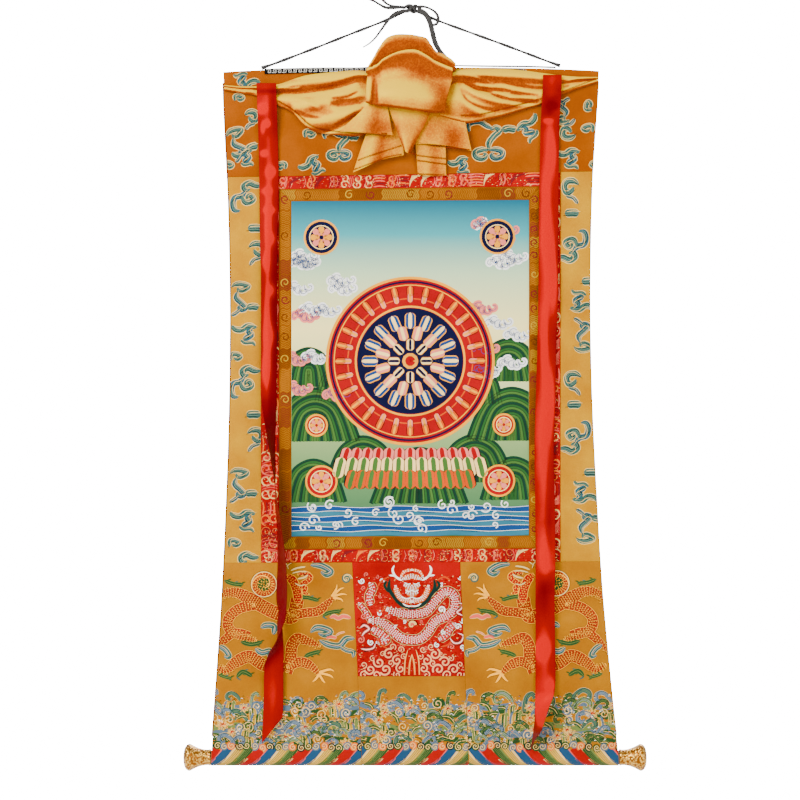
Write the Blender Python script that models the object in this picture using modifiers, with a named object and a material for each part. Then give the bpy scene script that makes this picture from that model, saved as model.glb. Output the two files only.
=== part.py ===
# A thangka scroll painting: a painted canvas framed in brocade, with its red lining, yellow silk
# cover gathered up at the top, two red ribbons, a hanging band tied in a bow, and a wooden roller
# with two metal knobs in the bottom hem. Sizes are in millimetres and become metres as each mesh
# is made. X runs to the right, Z up, and the front faces -Y. The origin is the hanging point.

import math

import bmesh
import bpy
from mathutils import Vector

MM = 0.001
SEAM_GAP = 0.4
MITRE_GAP = 0.3
CLOTH = 1.2
LINING_CLOTH = 1.0
LINING_GAP = 1.0
SILK = 1.1
RIBBON_CLOTH = 1.0

# Side edges of the mount, which draws in at the waist: height, left edge, right edge
SIDE_EDGES = (
    (-70, -234.5, 235.0),
    (-114, -233.5, 233.0),
    (-164, -231.0, 229.5),
    (-239, -227.5, 225.5),
    (-364, -225.0, 223.5),
    (-489, -226.0, 226.0),
    (-614, -230.0, 232.0),
    (-739, -236.0, 240.0),
    (-864, -244.5, 252.0),
    (-950, -250.5, 260.5),
)
HALF_WIDTH = 234

# How far each level tilts up to the right, and how far its ends droop
LEVELS = (
    (-70, 0.7, 5.0),
    (-120, 1.5, 0.5),
    (-206, 3.7, 0.0),
    (-240, 1.3, 0.0),
    (-692, 0.9, 0.0),
    (-900, 0.4, 0.0),
    (-950, 0.4, 2.0),
)

TOP_Z = -73.0
CANVAS = {"left": -149.5, "right": 147.5, "bottom": -659.0, "top": -239.5}
GOLD_FRAME = {"left": -165.0, "right": 161.0, "bottom": -675.0, "top": -223.5}
RED_FRAME = {"left": -187.5, "right": 187.0, "bottom": -691.5, "top": -206.5}

HEM_RADIUS = 1.6
HEM_DEPTH = 12.0

ROLLER_Z = -937.0
ROLLER_RADIUS = 8.25
SLEEVE_RADIUS = 9.9
SLEEVE_TOP_Z = -909.5
ROLLER_ENDS = (-264.0, 274.5)

DOOR_BOTTOM_Z = -834.0
# Seams between the lower panels: x at the top, x at the bottom
LOWER_SEAM_LEFT = (-73.5, -61.0)
LOWER_SEAM_RIGHT = (61.5, 72.5)

# Soft ridges (+) and troughs (-) of the hung cloth: both ends, height, half width
FOLDS = (
    (-228, -858, -165, -792, 2.0, 18),
    (-150, -872, -98, -800, 1.6, 17),
    (-218, -758, -120, -738, -1.4, 16),
    (108, -862, 172, -782, 2.2, 18),
    (196, -842, 242, -766, 1.8, 17),
    (88, -742, 184, -762, -1.4, 16),
    (-44, -892, 46, -878, 1.4, 17),
    (-228, -424, -192, -400, 1.3, 17),
    (-230, -566, -192, -590, -1.2, 17),
    (192, -300, 226, -330, 1.3, 17),
    (190, -506, 230, -474, -1.2, 17),
    (-230, -150, -120, -190, 1.2, 17),
    (100, -188, 226, -142, 1.4, 17),
    (-100, -500, 90, -480, 1.2, 70),
    (0, -250, 10, -350, -0.9, 55),
)
WAVE_HEIGHT = 0.7
WAVE_ACROSS = 62.0
WAVE_UP = 150.0
# Flat cloth below the top edge and above the roller's axis, then the height of the change
FLAT_TOP = 16.0
FLAT_FOOT = 4.0
FLAT_FADE = 40.0
# Height over which the lower panels leave the roller's own level
ROLLER_FADE = 60.0

# The lining's margins: past the brocade at each side, and short of the hem and the sleeve
LINING_PROUD_LEFT = 1.6
LINING_PROUD_RIGHT = 0.9
LINING_END_GAP = 1.0

# Gathered silk at each side: x, upper edge, crease, lower edge, bulge, depth of its back
SWAG_LEFT = (
    (-233.5, -95.0, -98.0, -102.0, 2.6, -1.4),
    (-214, -96.5, -100.5, -105.5, 3.2, -1.4),
    (-193.8, -96.5, -101.5, -109.0, 4.0, -1.4),
    (-167.5, -94.5, -105.5, -121.0, 5.5, -1.8),
    (-150, -89.0, -104.0, -129.0, 7.0, -2.6),
    (-133.8, -84.0, -102.0, -146.0, 8.0, -3.2),
    (-120, -81.5, -100.5, -154.0, 9.0, -3.2),
    (-92.5, -78.8, -98.0, -158.5, 11.0, -3.2),
    (-63.8, -77.2, -90.0, -159.5, 12.0, -3.4),
    (-38, -82.0, -92.0, -150.0, 9.0, -4.0),
)
SWAG_RIGHT = (
    (36, -84.0, -95.0, -136.0, 9.0, -4.0),
    (55, -76.0, -92.0, -141.0, 12.0, -3.4),
    (68.8, -74.6, -92.0, -144.0, 12.0, -2.6),
    (92, -74.4, -92.0, -140.0, 11.0, -2.0),
    (117.5, -75.0, -93.0, -133.5, 9.0, -1.6),
    (145, -77.5, -94.0, -125.0, 7.5, -1.4),
    (162.5, -79.8, -95.0, -119.5, 6.0, -1.4),
    (188, -83.2, -94.0, -108.0, 4.6, -1.4),
    (211, -84.8, -91.0, -99.0, 3.6, -1.4),
    (233.5, -85.0, -88.0, -92.0, 2.8, -1.4),
)
# The hood that stands above the top edge: x, height of its crest, height of its foot
HOOD = (
    (-56, -77.0, -88.0),
    (-49, -65.5, -94.0),
    (-41.5, -52.0, -98.0),
    (-35, -42.5, -98.0),
    (-28.8, -36.5, -98.0),
    (-18.8, -33.4, -98.0),
    (-5, -33.2, -98.0),
    (7.5, -34.6, -98.0),
    (19.4, -38.2, -98.0),
    (25, -46.0, -98.0),
    (32.5, -55.2, -98.0),
    (40, -58.0, -96.0),
    (50, -64.0, -88.0),
    (55.5, -69.0, -80.0),
)
HOOD_BACK_Y = -9.0
HOOD_VALLEY_Z = -79.0
# The pouch in front of it: x at the lip, x at the foot, lip height, foot height, bulge from 0 to 1
POUCH = (
    (-54.5, -56.5, -77.0, -119.5, 0.40),
    (-50.5, -52.0, -75.5, -121.5, 0.62),
    (-46.0, -45.0, -73.5, -122.5, 0.34),
    (-40.5, -39.0, -70.5, -124.0, 0.66),
    (-33.8, -31.0, -64.5, -125.0, 0.85),
    (-15.0, -14.0, -56.0, -127.5, 1.0),
    (5.0, 4.0, -54.0, -130.0, 1.0),
    (19.4, 15.0, -60.5, -131.5, 0.95),
    (28.8, 24.0, -67.0, -132.5, 0.85),
    (40.0, 33.0, -72.0, -132.5, 0.66),
    (51.5, 42.0, -76.5, -131.0, 0.42),
)
LIP_Y = -19.0
POUCH_DEPTH = 15.5
# The hanging ends: x, z and depth at the top, then x, z and depth at the hem
FLAP_TRIANGLE = (
    (-50, -116, -13, -89, -155.0, -16.5),
    (-44, -116, -14, -66, -156.5, -18.0),
    (-38, -116, -14, -44, -158.0, -15.5),
    (-30, -116, -13, -23, -159.5, -17.0),
)
FLAP_LEFT = (
    (-45, -120, -8, -72.5, -205.0, -5.5),
    (-36, -120, -8.5, -56, -198.0, -8.5),
    (-26, -120, -8.5, -37, -189.5, -6.0),
    (-10, -120, -8, -9, -183.5, -8.0),
)
FLAP_CENTRE = (
    (-30, -118, -13, -9.5, -176.0, -12.5),
    (-12, -118, -14, -7.0, -180.0, -16.5),
    (10, -118, -14, -3.5, -182.0, -16.0),
    (30, -118, -13, -0.5, -181.0, -12.5),
)
FLAP_RIGHT = (
    (8, -120, -8, 6, -169.5, -8.5),
    (26, -120, -8.5, 28, -170.5, -10.5),
    (46, -122, -8.5, 52, -173.0, -8.0),
    (64, -124, -8, 75.5, -178.5, -9.5),
)
FLAP_TAIL = (
    (2, -122, -7, 8.5, -207.5, -2.6),
    (16, -122, -7, 20, -209.0, -4.6),
    (30, -122, -7, 32, -209.0, -2.6),
    (42, -122, -7, 44, -208.0, -4.0),
)
GATHER_CENTRE = (-4, -9.0, -112)
GATHER_RADII = (50, 5.5, 19)

# Ribbons: z, then x and depth of the left edge, the middle and the right edge, and the end's slant
RIBBON_LEFT = (
    (-93.8, -192.8, -8.4, -180.5, -9.0, -168.1, -9.4, 0),
    (-125, -191.5, -8.4, -179.2, -9.8, -167.0, -9.4, 0),
    (-160, -190.5, -5.0, -178.3, -6.4, -166.2, -5.2, 0),
    (-207, -189.5, -4.2, -177.2, -5.2, -165.2, -3.6, 0),
    (-280, -188.6, -6.0, -177.4, -8.6, -166.4, -4.2, 0),
    (-351, -186.5, -12.0, -177.5, -11.0, -166.8, -4.4, 0),
    (-420, -187.0, -6.4, -178.0, -11.0, -167.2, -5.2, 0),
    (-489, -186.9, -12.0, -178.5, -10.0, -167.8, -3.8, 0),
    (-515, -182.0, -19.0, -175.0, -12.0, -168.5, -3.4, 0),
    (-539, -177.5, -24.0, -174.0, -13.0, -169.4, -3.4, 0),
    (-576, -171.2, -26.0, -170.5, -14.5, -168.8, -3.2, 0),
    (-614, -165.5, -26.0, -167.5, -14.5, -169.4, -3.2, 0),
    (-651, -160.0, -24.0, -163.5, -13.5, -166.9, -3.4, 0),
    (-692, -155.0, -22.0, -160.5, -12.5, -166.2, -3.4, 0),
    (-739, -154.0, -21.0, -161.0, -12.0, -167.6, -3.8, 0),
    (-765, -157.5, -23.0, -166.0, -14.0, -161.5, -4.0, 0),
    (-789, -167.5, -20.0, -166.0, -11.0, -159.4, -4.0, 0),
    (-803, -176.0, -14.5, -168.5, -8.5, -158.8, -4.4, 0),
    (-822, -182.5, -8.5, -170.8, -7.0, -159.2, -4.8, 0),
    (-862, -183.8, -5.6, -171.5, -6.0, -159.4, -5.0, 0),
    (-892, -185.0, -4.6, -172.8, -5.2, -160.2, -4.6, 8),
    (-917, -186.2, -4.2, -174.5, -5.0, -162.0, -4.4, 30),
)
RIBBON_RIGHT = (
    (-83.4, 164.4, -8.6, 176.0, -8.4, 187.9, -8.0, 0),
    (-106, 163.6, -9.0, 175.6, -10.4, 187.4, -9.6, 0),
    (-126, 162.5, -8.6, 174.0, -6.8, 185.8, -8.0, 0),
    (-151, 161.6, -5.2, 173.4, -6.2, 184.9, -5.2, 0),
    (-239, 159.7, -4.0, 172.0, -5.0, 184.3, -4.2, 0),
    (-300, 159.3, -6.2, 171.6, -7.6, 183.8, -4.4, 0),
    (-364, 158.8, -4.4, 171.0, -6.6, 183.2, -6.2, 0),
    (-414, 157.6, -8.2, 169.4, -7.2, 181.5, -4.4, 0),
    (-489, 155.6, -4.4, 168.0, -6.4, 180.2, -5.4, 0),
    (-551, 154.0, -6.2, 166.2, -7.6, 178.4, -4.4, 0),
    (-640, 155.2, -4.4, 167.5, -5.8, 179.8, -5.2, 0),
    (-697, 155.4, -5.2, 167.6, -8.6, 179.8, -9.0, 0),
    (-732, 155.2, -8.4, 167.0, -5.6, 179.2, -5.4, 0),
    (-790, 155.4, -4.8, 167.6, -6.0, 179.8, -5.2, 0),
    (-850, 155.2, -4.8, 167.2, -6.6, 179.2, -7.4, 0),
    (-874, 154.8, -4.6, 163.6, -11.4, 169.4, -20.0, 0),
    (-892, 153.8, -4.2, 158.6, -14.0, 163.2, -24.0, 0),
    (-908, 151.8, -4.0, 155.6, -13.6, 159.4, -23.0, 6),
    (-927, 149.0, -4.0, 151.6, -12.0, 154.6, -20.0, 20),
)

# Hanging band: width and thickness where it lies flat, diameter where it is rolled up
BAND_WIDTH = 6.6
BAND_THICKNESS = 1.2
ROLLED_DIAMETER = 3.6
KNOT_SIZE = (15.0, 10.6, 9.4)
KNOT_CENTRE = (0.0, -2.7, -0.5)

# Route of the flat tape: x, y, z, tilt in degrees away from facing the front
TAPE_ROUTE = (
    (-183, -1.1, -78.2, 0),
    (-140, -1.1, -77.0, 0),
    (-100, -1.1, -76.4, 0),
    (-62, -1.1, -76.2, 0),
    (-34, -2.6, -73.6, 22),
    (-6, -3.4, -70.4, 48),
    (24, -2.0, -69.6, 72),
    (56, 0.6, -70.6, 86),
    (84, 1.6, -71.0, 90),
    (117, 1.6, -71.4, 90),
    (150, 1.6, -71.8, 90),
    (181, 1.6, -72.8, 90),
)
# Routes of the other runs: x, y, z, width as a share of the full one
STRING_LEFT_ROUTE = (
    (-187, 1.2, -73.6, 1.35),
    (-172, 0.8, -68.6, 1.1),
    (-122, 0.6, -49.6, 1),
    (-76, 0.6, -31.4, 1),
    (-30, 0.6, -13.4, 1),
    (-7.9, 0.6, -3.4, 1),
)
STRING_RIGHT_ROUTE = (
    (186.6, 1.4, -70.8, 1.2),
    (172, 1.2, -65.6, 1),
    (120, 0.8, -46.0, 1),
    (73.8, 0.6, -29.2, 1),
    (33.8, 0.6, -14.4, 1),
    (7.9, 0.7, -3.4, 1),
)
LOOP_LEFT_ROUTE = (
    (-7.9, 0.6, 1.9, 1),
    (-16, 0.2, 2.8, 1),
    (-24, -0.4, 4.0, 1),
    (-30, -0.8, 6.4, 1),
    (-35.5, -1.0, 11.6, 1),
    (-39.5, -1.2, 18.6, 1),
    (-45.5, -1.4, 25.0, 1),
    (-53.5, -1.6, 25.6, 1),
    (-57.8, -1.8, 19.6, 1),
    (-53.5, -2.2, 13.4, 1),
    (-46.0, -2.8, 9.4, 1),
    (-39.0, -3.4, 5.0, 1),
    (-31.5, -3.8, 1.2, 1),
    (-20, -4.0, 0.8, 1),
    (-7.9, -4.0, 1.4, 1),
)
LOOP_RIGHT_ROUTE = (
    (7.9, -4.2, 1.8, 1),
    (16, -4.0, 2.2, 1),
    (24, -3.8, -0.4, 1),
    (31, -3.4, -5.4, 1),
    (34.0, -3.6, -12.0, 1),
    (32.2, -3.6, -18.8, 1),
    (26.5, -3.7, -20.4, 1),
    (21.6, -3.6, -14.8, 1),
    (16, -3.7, -7.6, 1),
    (7.9, -3.7, -2.6, 1),
)
TAIL_LEFT_ROUTE = (
    (-7.9, -4.6, -3.2, 0.75),
    (-18.8, -5.0, -6.0, 0.7),
    (-25, -5.2, -10.8, 0.62),
    (-31.2, -5.4, -18.4, 0.55),
    (-38, -5.4, -28.0, 0.45),
    (-45, -5.4, -37.4, 0.38),
    (-52.5, -5.2, -44.2, 0.3),
    (-60, -5.0, -48.6, 0.24),
)
TAIL_RIGHT_ROUTE = (
    (7.9, -7.1, -1.4, 0.92),
    (17.5, -7.1, -7.0, 1),
    (23.4, -7.0, -17.5, 1),
    (26.4, -6.6, -28.8, 1),
    (30, -5.4, -42.5, 1),
    (35, -4.6, -51.9, 0.9),
    (41.2, -4.4, -59.2, 0.8),
    (49, -4.6, -66.0, 0.6),
)

# Turned knob: distance from its mouth, outer radius
KNOB_PROFILE = (
    (0.0, 9.9),
    (1.6, 10.2),
    (3.2, 9.7),
    (9.0, 10.1),
    (15.0, 11.6),
    (20.0, 13.7),
    (24.0, 15.8),
    (26.4, 16.9),
    (28.2, 16.7),
    (30.6, 15.2),
    (32.8, 11.8),
    (34.1, 6.4),
    (34.5, 0.0),
)
KNOB_BORE_RADIUS = 8.6
KNOB_BORE_DEPTH = 15.0
KNOB_MOUTHS = (-250.9, 261.2)
KNOT_ROUNDING = 2.4

# Columns and rows of each cloth's grid, without the rows of the top hem and of the sleeve
GRIDS = {
    "painting_canvas": (10, 14),
    "gold_strips": (14, 18),
    "red_strips": (16, 20),
    "top_panel": (18, 8),
    "side_panel_left": (3, 24),
    "side_panel_right": (3, 24),
    "lower_panel_left": (8, 12),
    "lower_panel_centre": (6, 6),
    "lower_panel_right": (8, 12),
    "door_panel": (6, 7),
    "lining": (14, 25),
    "ribbons": (3, 38),
}
# Steps of what turns or follows a route
HEM_TURNS = 4
SLEEVE_TURNS = 11
TAPE_STEPS = 22
TAIL_STEPS = 18
ROLLER_SIDES = 24
KNOB_STEPS = 20

# Colour, roughness and metallic value of each finish
FINISHES = {
    "canvas": ((0.16, 0.40, 0.36), 0.80, 0.0),
    "cloud_brocade": ((0.62, 0.33, 0.04), 0.55, 0.0),
    "dragon_brocade": ((0.60, 0.34, 0.06), 0.55, 0.0),
    "gold_brocade": ((0.45, 0.22, 0.03), 0.50, 0.0),
    "red_brocade": ((0.55, 0.03, 0.02), 0.55, 0.0),
    "lining": ((0.28, 0.01, 0.01), 0.75, 0.0),
    "silk": ((0.85, 0.52, 0.02), 0.40, 0.0),
    "ribbon": ((0.62, 0.005, 0.005), 0.30, 0.0),
    "band": ((0.02, 0.02, 0.02), 0.80, 0.0),
    "wood": ((0.42, 0.27, 0.14), 0.60, 0.0),
    "gold_metal": ((0.75, 0.55, 0.12), 0.30, 1.0),
}


def clear_scene():
    for obj in list(bpy.data.objects):
        bpy.data.objects.remove(obj, do_unlink=True)


def finish_of(name):
    material = bpy.data.materials.get(name)
    if material is None:
        colour, roughness, metallic = FINISHES[name]
        material = bpy.data.materials.new(name)
        material.use_nodes = True
        shader = material.node_tree.nodes["Principled BSDF"]
        shader.inputs["Base Color"].default_value = (*colour, 1.0)
        shader.inputs["Roughness"].default_value = roughness
        shader.inputs["Metallic"].default_value = metallic
    return material


def add_object(name, data, finish, collection):
    obj = bpy.data.objects.new(name, data)
    obj.data.materials.append(finish_of(finish))
    collection.objects.link(obj)
    return obj


def lerp(start, end, share):
    return start + (end - start) * share


def hermite(before, start, end, after, share):
    """A value on the smooth curve between start and end, all four given as (place, value)."""
    span = end[0] - start[0]
    slope_in = (end[1] - before[1]) / (end[0] - before[0]) * span
    slope_out = (after[1] - start[1]) / (after[0] - start[0]) * span
    square, cube = share * share, share**3
    return (
        (2 * cube - 3 * square + 1) * start[1]
        + (cube - 2 * square + share) * slope_in
        + (3 * square - 2 * cube) * end[1]
        + (cube - square) * slope_out
    )


def read_table(table, place, column):
    """The table's column at a place, smoothly between its rows; column 0 holds the places."""
    rows = [(row[0], row[column]) for row in table]
    if rows[0][0] > rows[-1][0]:
        rows.reverse()
    place = min(max(place, rows[0][0]), rows[-1][0])
    index = 0
    while index < len(rows) - 2 and place > rows[index + 1][0]:
        index += 1
    start, end = rows[index], rows[index + 1]
    before = rows[index - 1] if index else (2 * start[0] - end[0], start[1])
    after = rows[index + 2] if index + 2 < len(rows) else (2 * end[0] - start[0], end[1])
    return hermite(before, start, end, after, (place - start[0]) / (end[0] - start[0]))


def smooth_line(points, segments):
    """Points evenly spread by chord length along a smooth line through the given ones."""
    points = [Vector(point) for point in points]
    places = [0.0]
    for first, second in zip(points, points[1:]):
        places.append(places[-1] + max((second - first).length, 1e-6))
    line = []
    for step in range(segments + 1):
        place = places[-1] * step / segments
        line.append(
            Vector(
                read_table([(s, p[axis]) for s, p in zip(places, points)], place, 1)
                for axis in range(len(points[0]))
            )
        )
    return line


def left_edge(z):
    return read_table(SIDE_EDGES, z, 1)


def right_edge(z):
    return read_table(SIDE_EDGES, z, 2)


def level(x, z):
    """The true height at x of a row whose middle is at z."""
    share = x / HALF_WIDTH
    return z + read_table(LEVELS, z, 1) * share - read_table(LEVELS, z, 2) * abs(share) ** 3


def drape(x, z):
    """Depth of the mount's front face, flat at the top hem and at the roller."""
    depth = WAVE_HEIGHT * math.sin(x / WAVE_ACROSS + z / WAVE_UP)
    for x1, z1, x2, z2, height, spread in FOLDS:
        along = Vector((x2 - x1, z2 - z1))
        offset = Vector((x - x1, z - z1))
        share = min(max(offset.dot(along) / along.length_squared, 0.0), 1.0)
        distance = (offset - along * share).length
        depth += height * math.exp(-((distance / spread) ** 2))
    top_fade = min(max((TOP_Z - FLAT_TOP - z) / FLAT_FADE, 0.0), 1.0)
    foot_fade = min(max((z - ROLLER_Z - FLAT_FOOT) / FLAT_FADE, 0.0), 1.0)
    return -depth * top_fade * foot_fade


def on_mount(x, z):
    z = level(x, z)
    return Vector((x, drape(x, z), z))


def grid_object(name, columns, rows, place, thickness, finish, collection):
    """A grid of cloth whose point at column i and row j is place(i, j), thickened inwards."""
    shape = bmesh.new()
    bmesh.ops.create_grid(shape, x_segments=columns, y_segments=rows, size=0.5)
    for vertex in shape.verts:
        column = round((vertex.co.x + 0.5) * columns)
        row = round((vertex.co.y + 0.5) * rows)
        vertex.co = Vector(place(column, row)) * MM
    mesh = bpy.data.meshes.new(name)
    shape.to_mesh(mesh)
    shape.free()
    obj = add_object(name, mesh, finish, collection)
    solid = obj.modifiers.new("thickness", "SOLIDIFY")
    solid.thickness = thickness * MM
    solid.offset = -1.0
    return obj


def make_panel(name, left, right, bottom, top, finish, collection):
    """A piece of the mount between two side lines, given as functions of z, and two levels."""
    columns, rows = GRIDS[name]

    def place(column, row):
        z = lerp(bottom + SEAM_GAP / 2, top - SEAM_GAP / 2, row / rows)
        x = lerp(left(z), right(z), column / columns)
        return on_mount(x, z)

    return grid_object(name, columns, rows, place, CLOTH, finish, collection)


def make_frame(kind, inner, outer, finish, collection):
    """Four strips with mitred corners between two rectangles."""
    across, up = GRIDS[f"{kind}_strips"]
    gap = SEAM_GAP / 2
    inside = {
        "left": inner["left"] - gap,
        "right": inner["right"] + gap,
        "bottom": inner["bottom"] - gap,
        "top": inner["top"] + gap,
    }
    outside = {
        "left": outer["left"] + gap,
        "right": outer["right"] - gap,
        "bottom": outer["bottom"] + gap,
        "top": outer["top"] - gap,
    }

    def level_strip(side, from_side, to_side):
        def place(column, row):
            z = lerp(from_side[side], to_side[side], row)
            left = lerp(from_side["left"], to_side["left"], row) + MITRE_GAP
            right = lerp(from_side["right"], to_side["right"], row) - MITRE_GAP
            return on_mount(lerp(left, right, column / across), z)

        return place

    def upright_strip(side, from_side, to_side):
        def place(column, row):
            x = lerp(from_side[side], to_side[side], column)
            bottom = lerp(from_side["bottom"], to_side["bottom"], column) + MITRE_GAP
            top = lerp(from_side["top"], to_side["top"], column) - MITRE_GAP
            return on_mount(x, lerp(bottom, top, row / up))

        return place

    strips = (
        ("top", across, 1, level_strip("top", inside, outside)),
        ("bottom", across, 1, level_strip("bottom", outside, inside)),
        ("left", 1, up, upright_strip("left", outside, inside)),
        ("right", 1, up, upright_strip("right", inside, outside)),
    )
    for side, columns, rows, place in strips:
        grid_object(f"{kind}_strip_{side}", columns, rows, place, CLOTH, finish, collection)


def make_top_panel(collection):
    """The heading: its top edge folds over to the back as a flat hem."""
    columns, front = GRIDS["top_panel"]
    path = [(2 * HEM_RADIUS, TOP_Z - HEM_RADIUS - HEM_DEPTH)]
    for turn in range(HEM_TURNS + 1):
        angle = math.pi * turn / HEM_TURNS
        path.append((
            HEM_RADIUS * (1 + math.cos(angle)),
            TOP_Z - HEM_RADIUS * (1 - math.sin(angle)),
        ))
    foot = RED_FRAME["top"] + SEAM_GAP / 2
    path += [
        (0.0, lerp(TOP_Z - HEM_RADIUS, foot, step / front)) for step in range(1, front + 1)
    ]
    path.reverse()
    rows = len(path) - 1

    def place(column, row):
        depth, z = path[row]
        x = lerp(left_edge(z), right_edge(z), column / columns)
        height = level(x, z)
        return x, depth + (drape(x, height) if row <= front else 0.0), height

    grid_object("top_panel", columns, rows, place, CLOTH, "cloud_brocade", collection)


def sleeve_path():
    """The way of the bottom hem round the roller, from behind to the front, as depth and height."""
    target = Vector((CLOTH + LINING_GAP + LINING_CLOTH, SLEEVE_TOP_Z))
    centre = Vector((SLEEVE_RADIUS, ROLLER_Z))
    offset = target - centre
    lean = math.atan2(offset.x, offset.y)
    leave = lean + math.acos(SLEEVE_RADIUS / offset.length)
    sweep = 1.5 * math.pi - leave
    path = [tuple(target)]
    for turn in range(SLEEVE_TURNS + 1):
        angle = leave + sweep * turn / SLEEVE_TURNS
        path.append((
            centre.x + SLEEVE_RADIUS * math.sin(angle),
            centre.y + SLEEVE_RADIUS * math.cos(angle),
        ))
    return path


def make_lower_panel(name, left, right, top, collection):
    """A lower panel, whose foot wraps the roller and comes up behind as a sleeve."""
    columns, front = GRIDS[name]
    sleeve = sleeve_path()
    path = sleeve + [
        (0.0, lerp(ROLLER_Z, top - SEAM_GAP / 2, step / front)) for step in range(1, front + 1)
    ]
    rows = len(path) - 1

    def place(column, row):
        depth, z = path[row]
        x = lerp(left(z), right(z), column / columns)
        if row < len(sleeve):
            return x, depth, z
        height = lerp(z, level(x, z), min((z - ROLLER_Z) / ROLLER_FADE, 1.0))
        return x, drape(x, height), height

    grid_object(name, columns, rows, place, CLOTH, "dragon_brocade", collection)


def seam_line(seam, side):
    """The x of a lower seam at height z, kept half a gap to one side of it."""
    top, bottom = RED_FRAME["bottom"], ROLLER_Z - SLEEVE_RADIUS

    def at(z):
        share = (top - z) / (top - bottom)
        return lerp(seam[0], seam[1], share) + side * SEAM_GAP / 2

    return at


def make_mount(collection):
    make_panel(
        "painting_canvas",
        lambda z: CANVAS["left"] + SEAM_GAP / 2, lambda z: CANVAS["right"] - SEAM_GAP / 2,
        CANVAS["bottom"], CANVAS["top"], "canvas", collection,
    )
    make_frame("gold", CANVAS, GOLD_FRAME, "gold_brocade", collection)
    make_frame("red", GOLD_FRAME, RED_FRAME, "red_brocade", collection)
    make_top_panel(collection)
    make_panel(
        "side_panel_left",
        left_edge, lambda z: RED_FRAME["left"] - SEAM_GAP / 2,
        RED_FRAME["bottom"], RED_FRAME["top"], "cloud_brocade", collection,
    )
    make_panel(
        "side_panel_right",
        lambda z: RED_FRAME["right"] + SEAM_GAP / 2, right_edge,
        RED_FRAME["bottom"], RED_FRAME["top"], "cloud_brocade", collection,
    )
    foot = RED_FRAME["bottom"]
    make_lower_panel(
        "lower_panel_left", left_edge, seam_line(LOWER_SEAM_LEFT, -1), foot, collection
    )
    make_lower_panel(
        "lower_panel_centre",
        seam_line(LOWER_SEAM_LEFT, 1), seam_line(LOWER_SEAM_RIGHT, -1), DOOR_BOTTOM_Z, collection,
    )
    make_lower_panel(
        "lower_panel_right", seam_line(LOWER_SEAM_RIGHT, 1), right_edge, foot, collection
    )
    make_panel(
        "door_panel",
        seam_line(LOWER_SEAM_LEFT, 1), seam_line(LOWER_SEAM_RIGHT, -1),
        DOOR_BOTTOM_Z, foot, "red_brocade", collection,
    )


def make_lining(collection):
    """The backing cloth, a little wider than the brocade, so that its edge shows as a red line."""
    columns, rows = GRIDS["lining"]
    top = TOP_Z - HEM_RADIUS - HEM_DEPTH - LINING_END_GAP
    bottom = SLEEVE_TOP_Z + LINING_END_GAP

    def place(column, row):
        z = lerp(bottom, top, row / rows)
        left, right = left_edge(z) - LINING_PROUD_LEFT, right_edge(z) + LINING_PROUD_RIGHT
        x = lerp(left, right, column / columns)
        height = level(x, z)
        return x, drape(x, height) + CLOTH + LINING_GAP, height

    grid_object("lining", columns, rows, place, LINING_CLOTH, "lining", collection)


def make_cloth(name, sections, across, down, thickness, finish, collection):
    """A sheet through sections that run from its upper end to its lower one, left to right."""
    lines = [smooth_line(section, down) for section in sections]
    levels = [smooth_line([line[row] for line in lines], across) for row in range(down + 1)]

    def place(column, row):
        return levels[down - row][column]

    return grid_object(name, across, down, place, thickness, finish, collection)


def swag_sections(table):
    sections = []
    for x, top, crease, bottom, bulge, back in table:
        height = top - bottom
        sections.append((
            (x, back, top),
            (x, back - 0.75 * bulge, lerp(top, crease, 0.45)),
            (x, back - 0.35 * bulge, crease),
            (x, back - bulge, lerp(crease, bottom, 0.5)),
            (x, back - 0.72 * bulge, lerp(crease, bottom, 0.93)),
            (x, back - 0.3 * bulge, bottom),
            (x, back + 0.3, bottom + 0.1 * height),
        ))
    return sections


def hood_sections():
    sections = []
    for x, crest, foot in HOOD:
        valley = min(HOOD_VALLEY_Z, crest - 5.0)
        sections.append((
            (x, HOOD_BACK_Y + 0.6, foot),
            (x, HOOD_BACK_Y, lerp(foot, crest, 0.6)),
            (x, HOOD_BACK_Y - 1.0, crest - 2.4),
            (x, HOOD_BACK_Y - 3.0, crest),
            (x, HOOD_BACK_Y - 5.2, crest - 3.0),
            (x, HOOD_BACK_Y - 4.6, lerp(valley, crest, 0.4)),
            (x, HOOD_BACK_Y - 3.6, valley),
        ))
    return sections


def pouch_sections():
    sections = []
    for x_lip, x_foot, lip, foot, bulge in POUCH:
        front = LIP_Y - POUCH_DEPTH * bulge * 0.55
        belly = LIP_Y - POUCH_DEPTH * bulge
        sections.append((
            (x_lip, LIP_Y + 3.6, lip - 14.0 * bulge - 5.0),
            (x_lip, LIP_Y + 2.0, lip - 4.0),
            (x_lip, LIP_Y - 1.0, lip),
            (x_lip, lerp(LIP_Y, front, 0.5) - 1.0, lip - 6.0 * bulge - 2.0),
            (lerp(x_lip, x_foot, 0.4), front, lerp(lip, foot, 0.42)),
            (lerp(x_lip, x_foot, 0.8), belly, lerp(lip, foot, 0.78)),
            (x_foot, lerp(LIP_Y, belly, 0.75), foot + 1.5),
            (x_foot, LIP_Y - 1.0, foot),
            (x_foot, LIP_Y + 4.0, foot + 6.0),
            (x_foot, LIP_Y + 6.0, foot + 15.0),
        ))
    return sections


def flap_sections(table):
    sections = []
    for x_top, z_top, y_top, x_hem, z_hem, y_hem in table:
        sections.append((
            (x_top, y_top, z_top),
            (lerp(x_top, x_hem, 0.3), lerp(y_top, y_hem, 0.3) - 1.0, lerp(z_top, z_hem, 0.33)),
            (lerp(x_top, x_hem, 0.65), lerp(y_top, y_hem, 0.65) - 0.8, lerp(z_top, z_hem, 0.66)),
            (x_hem, y_hem, z_hem),
        ))
    return sections


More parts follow.
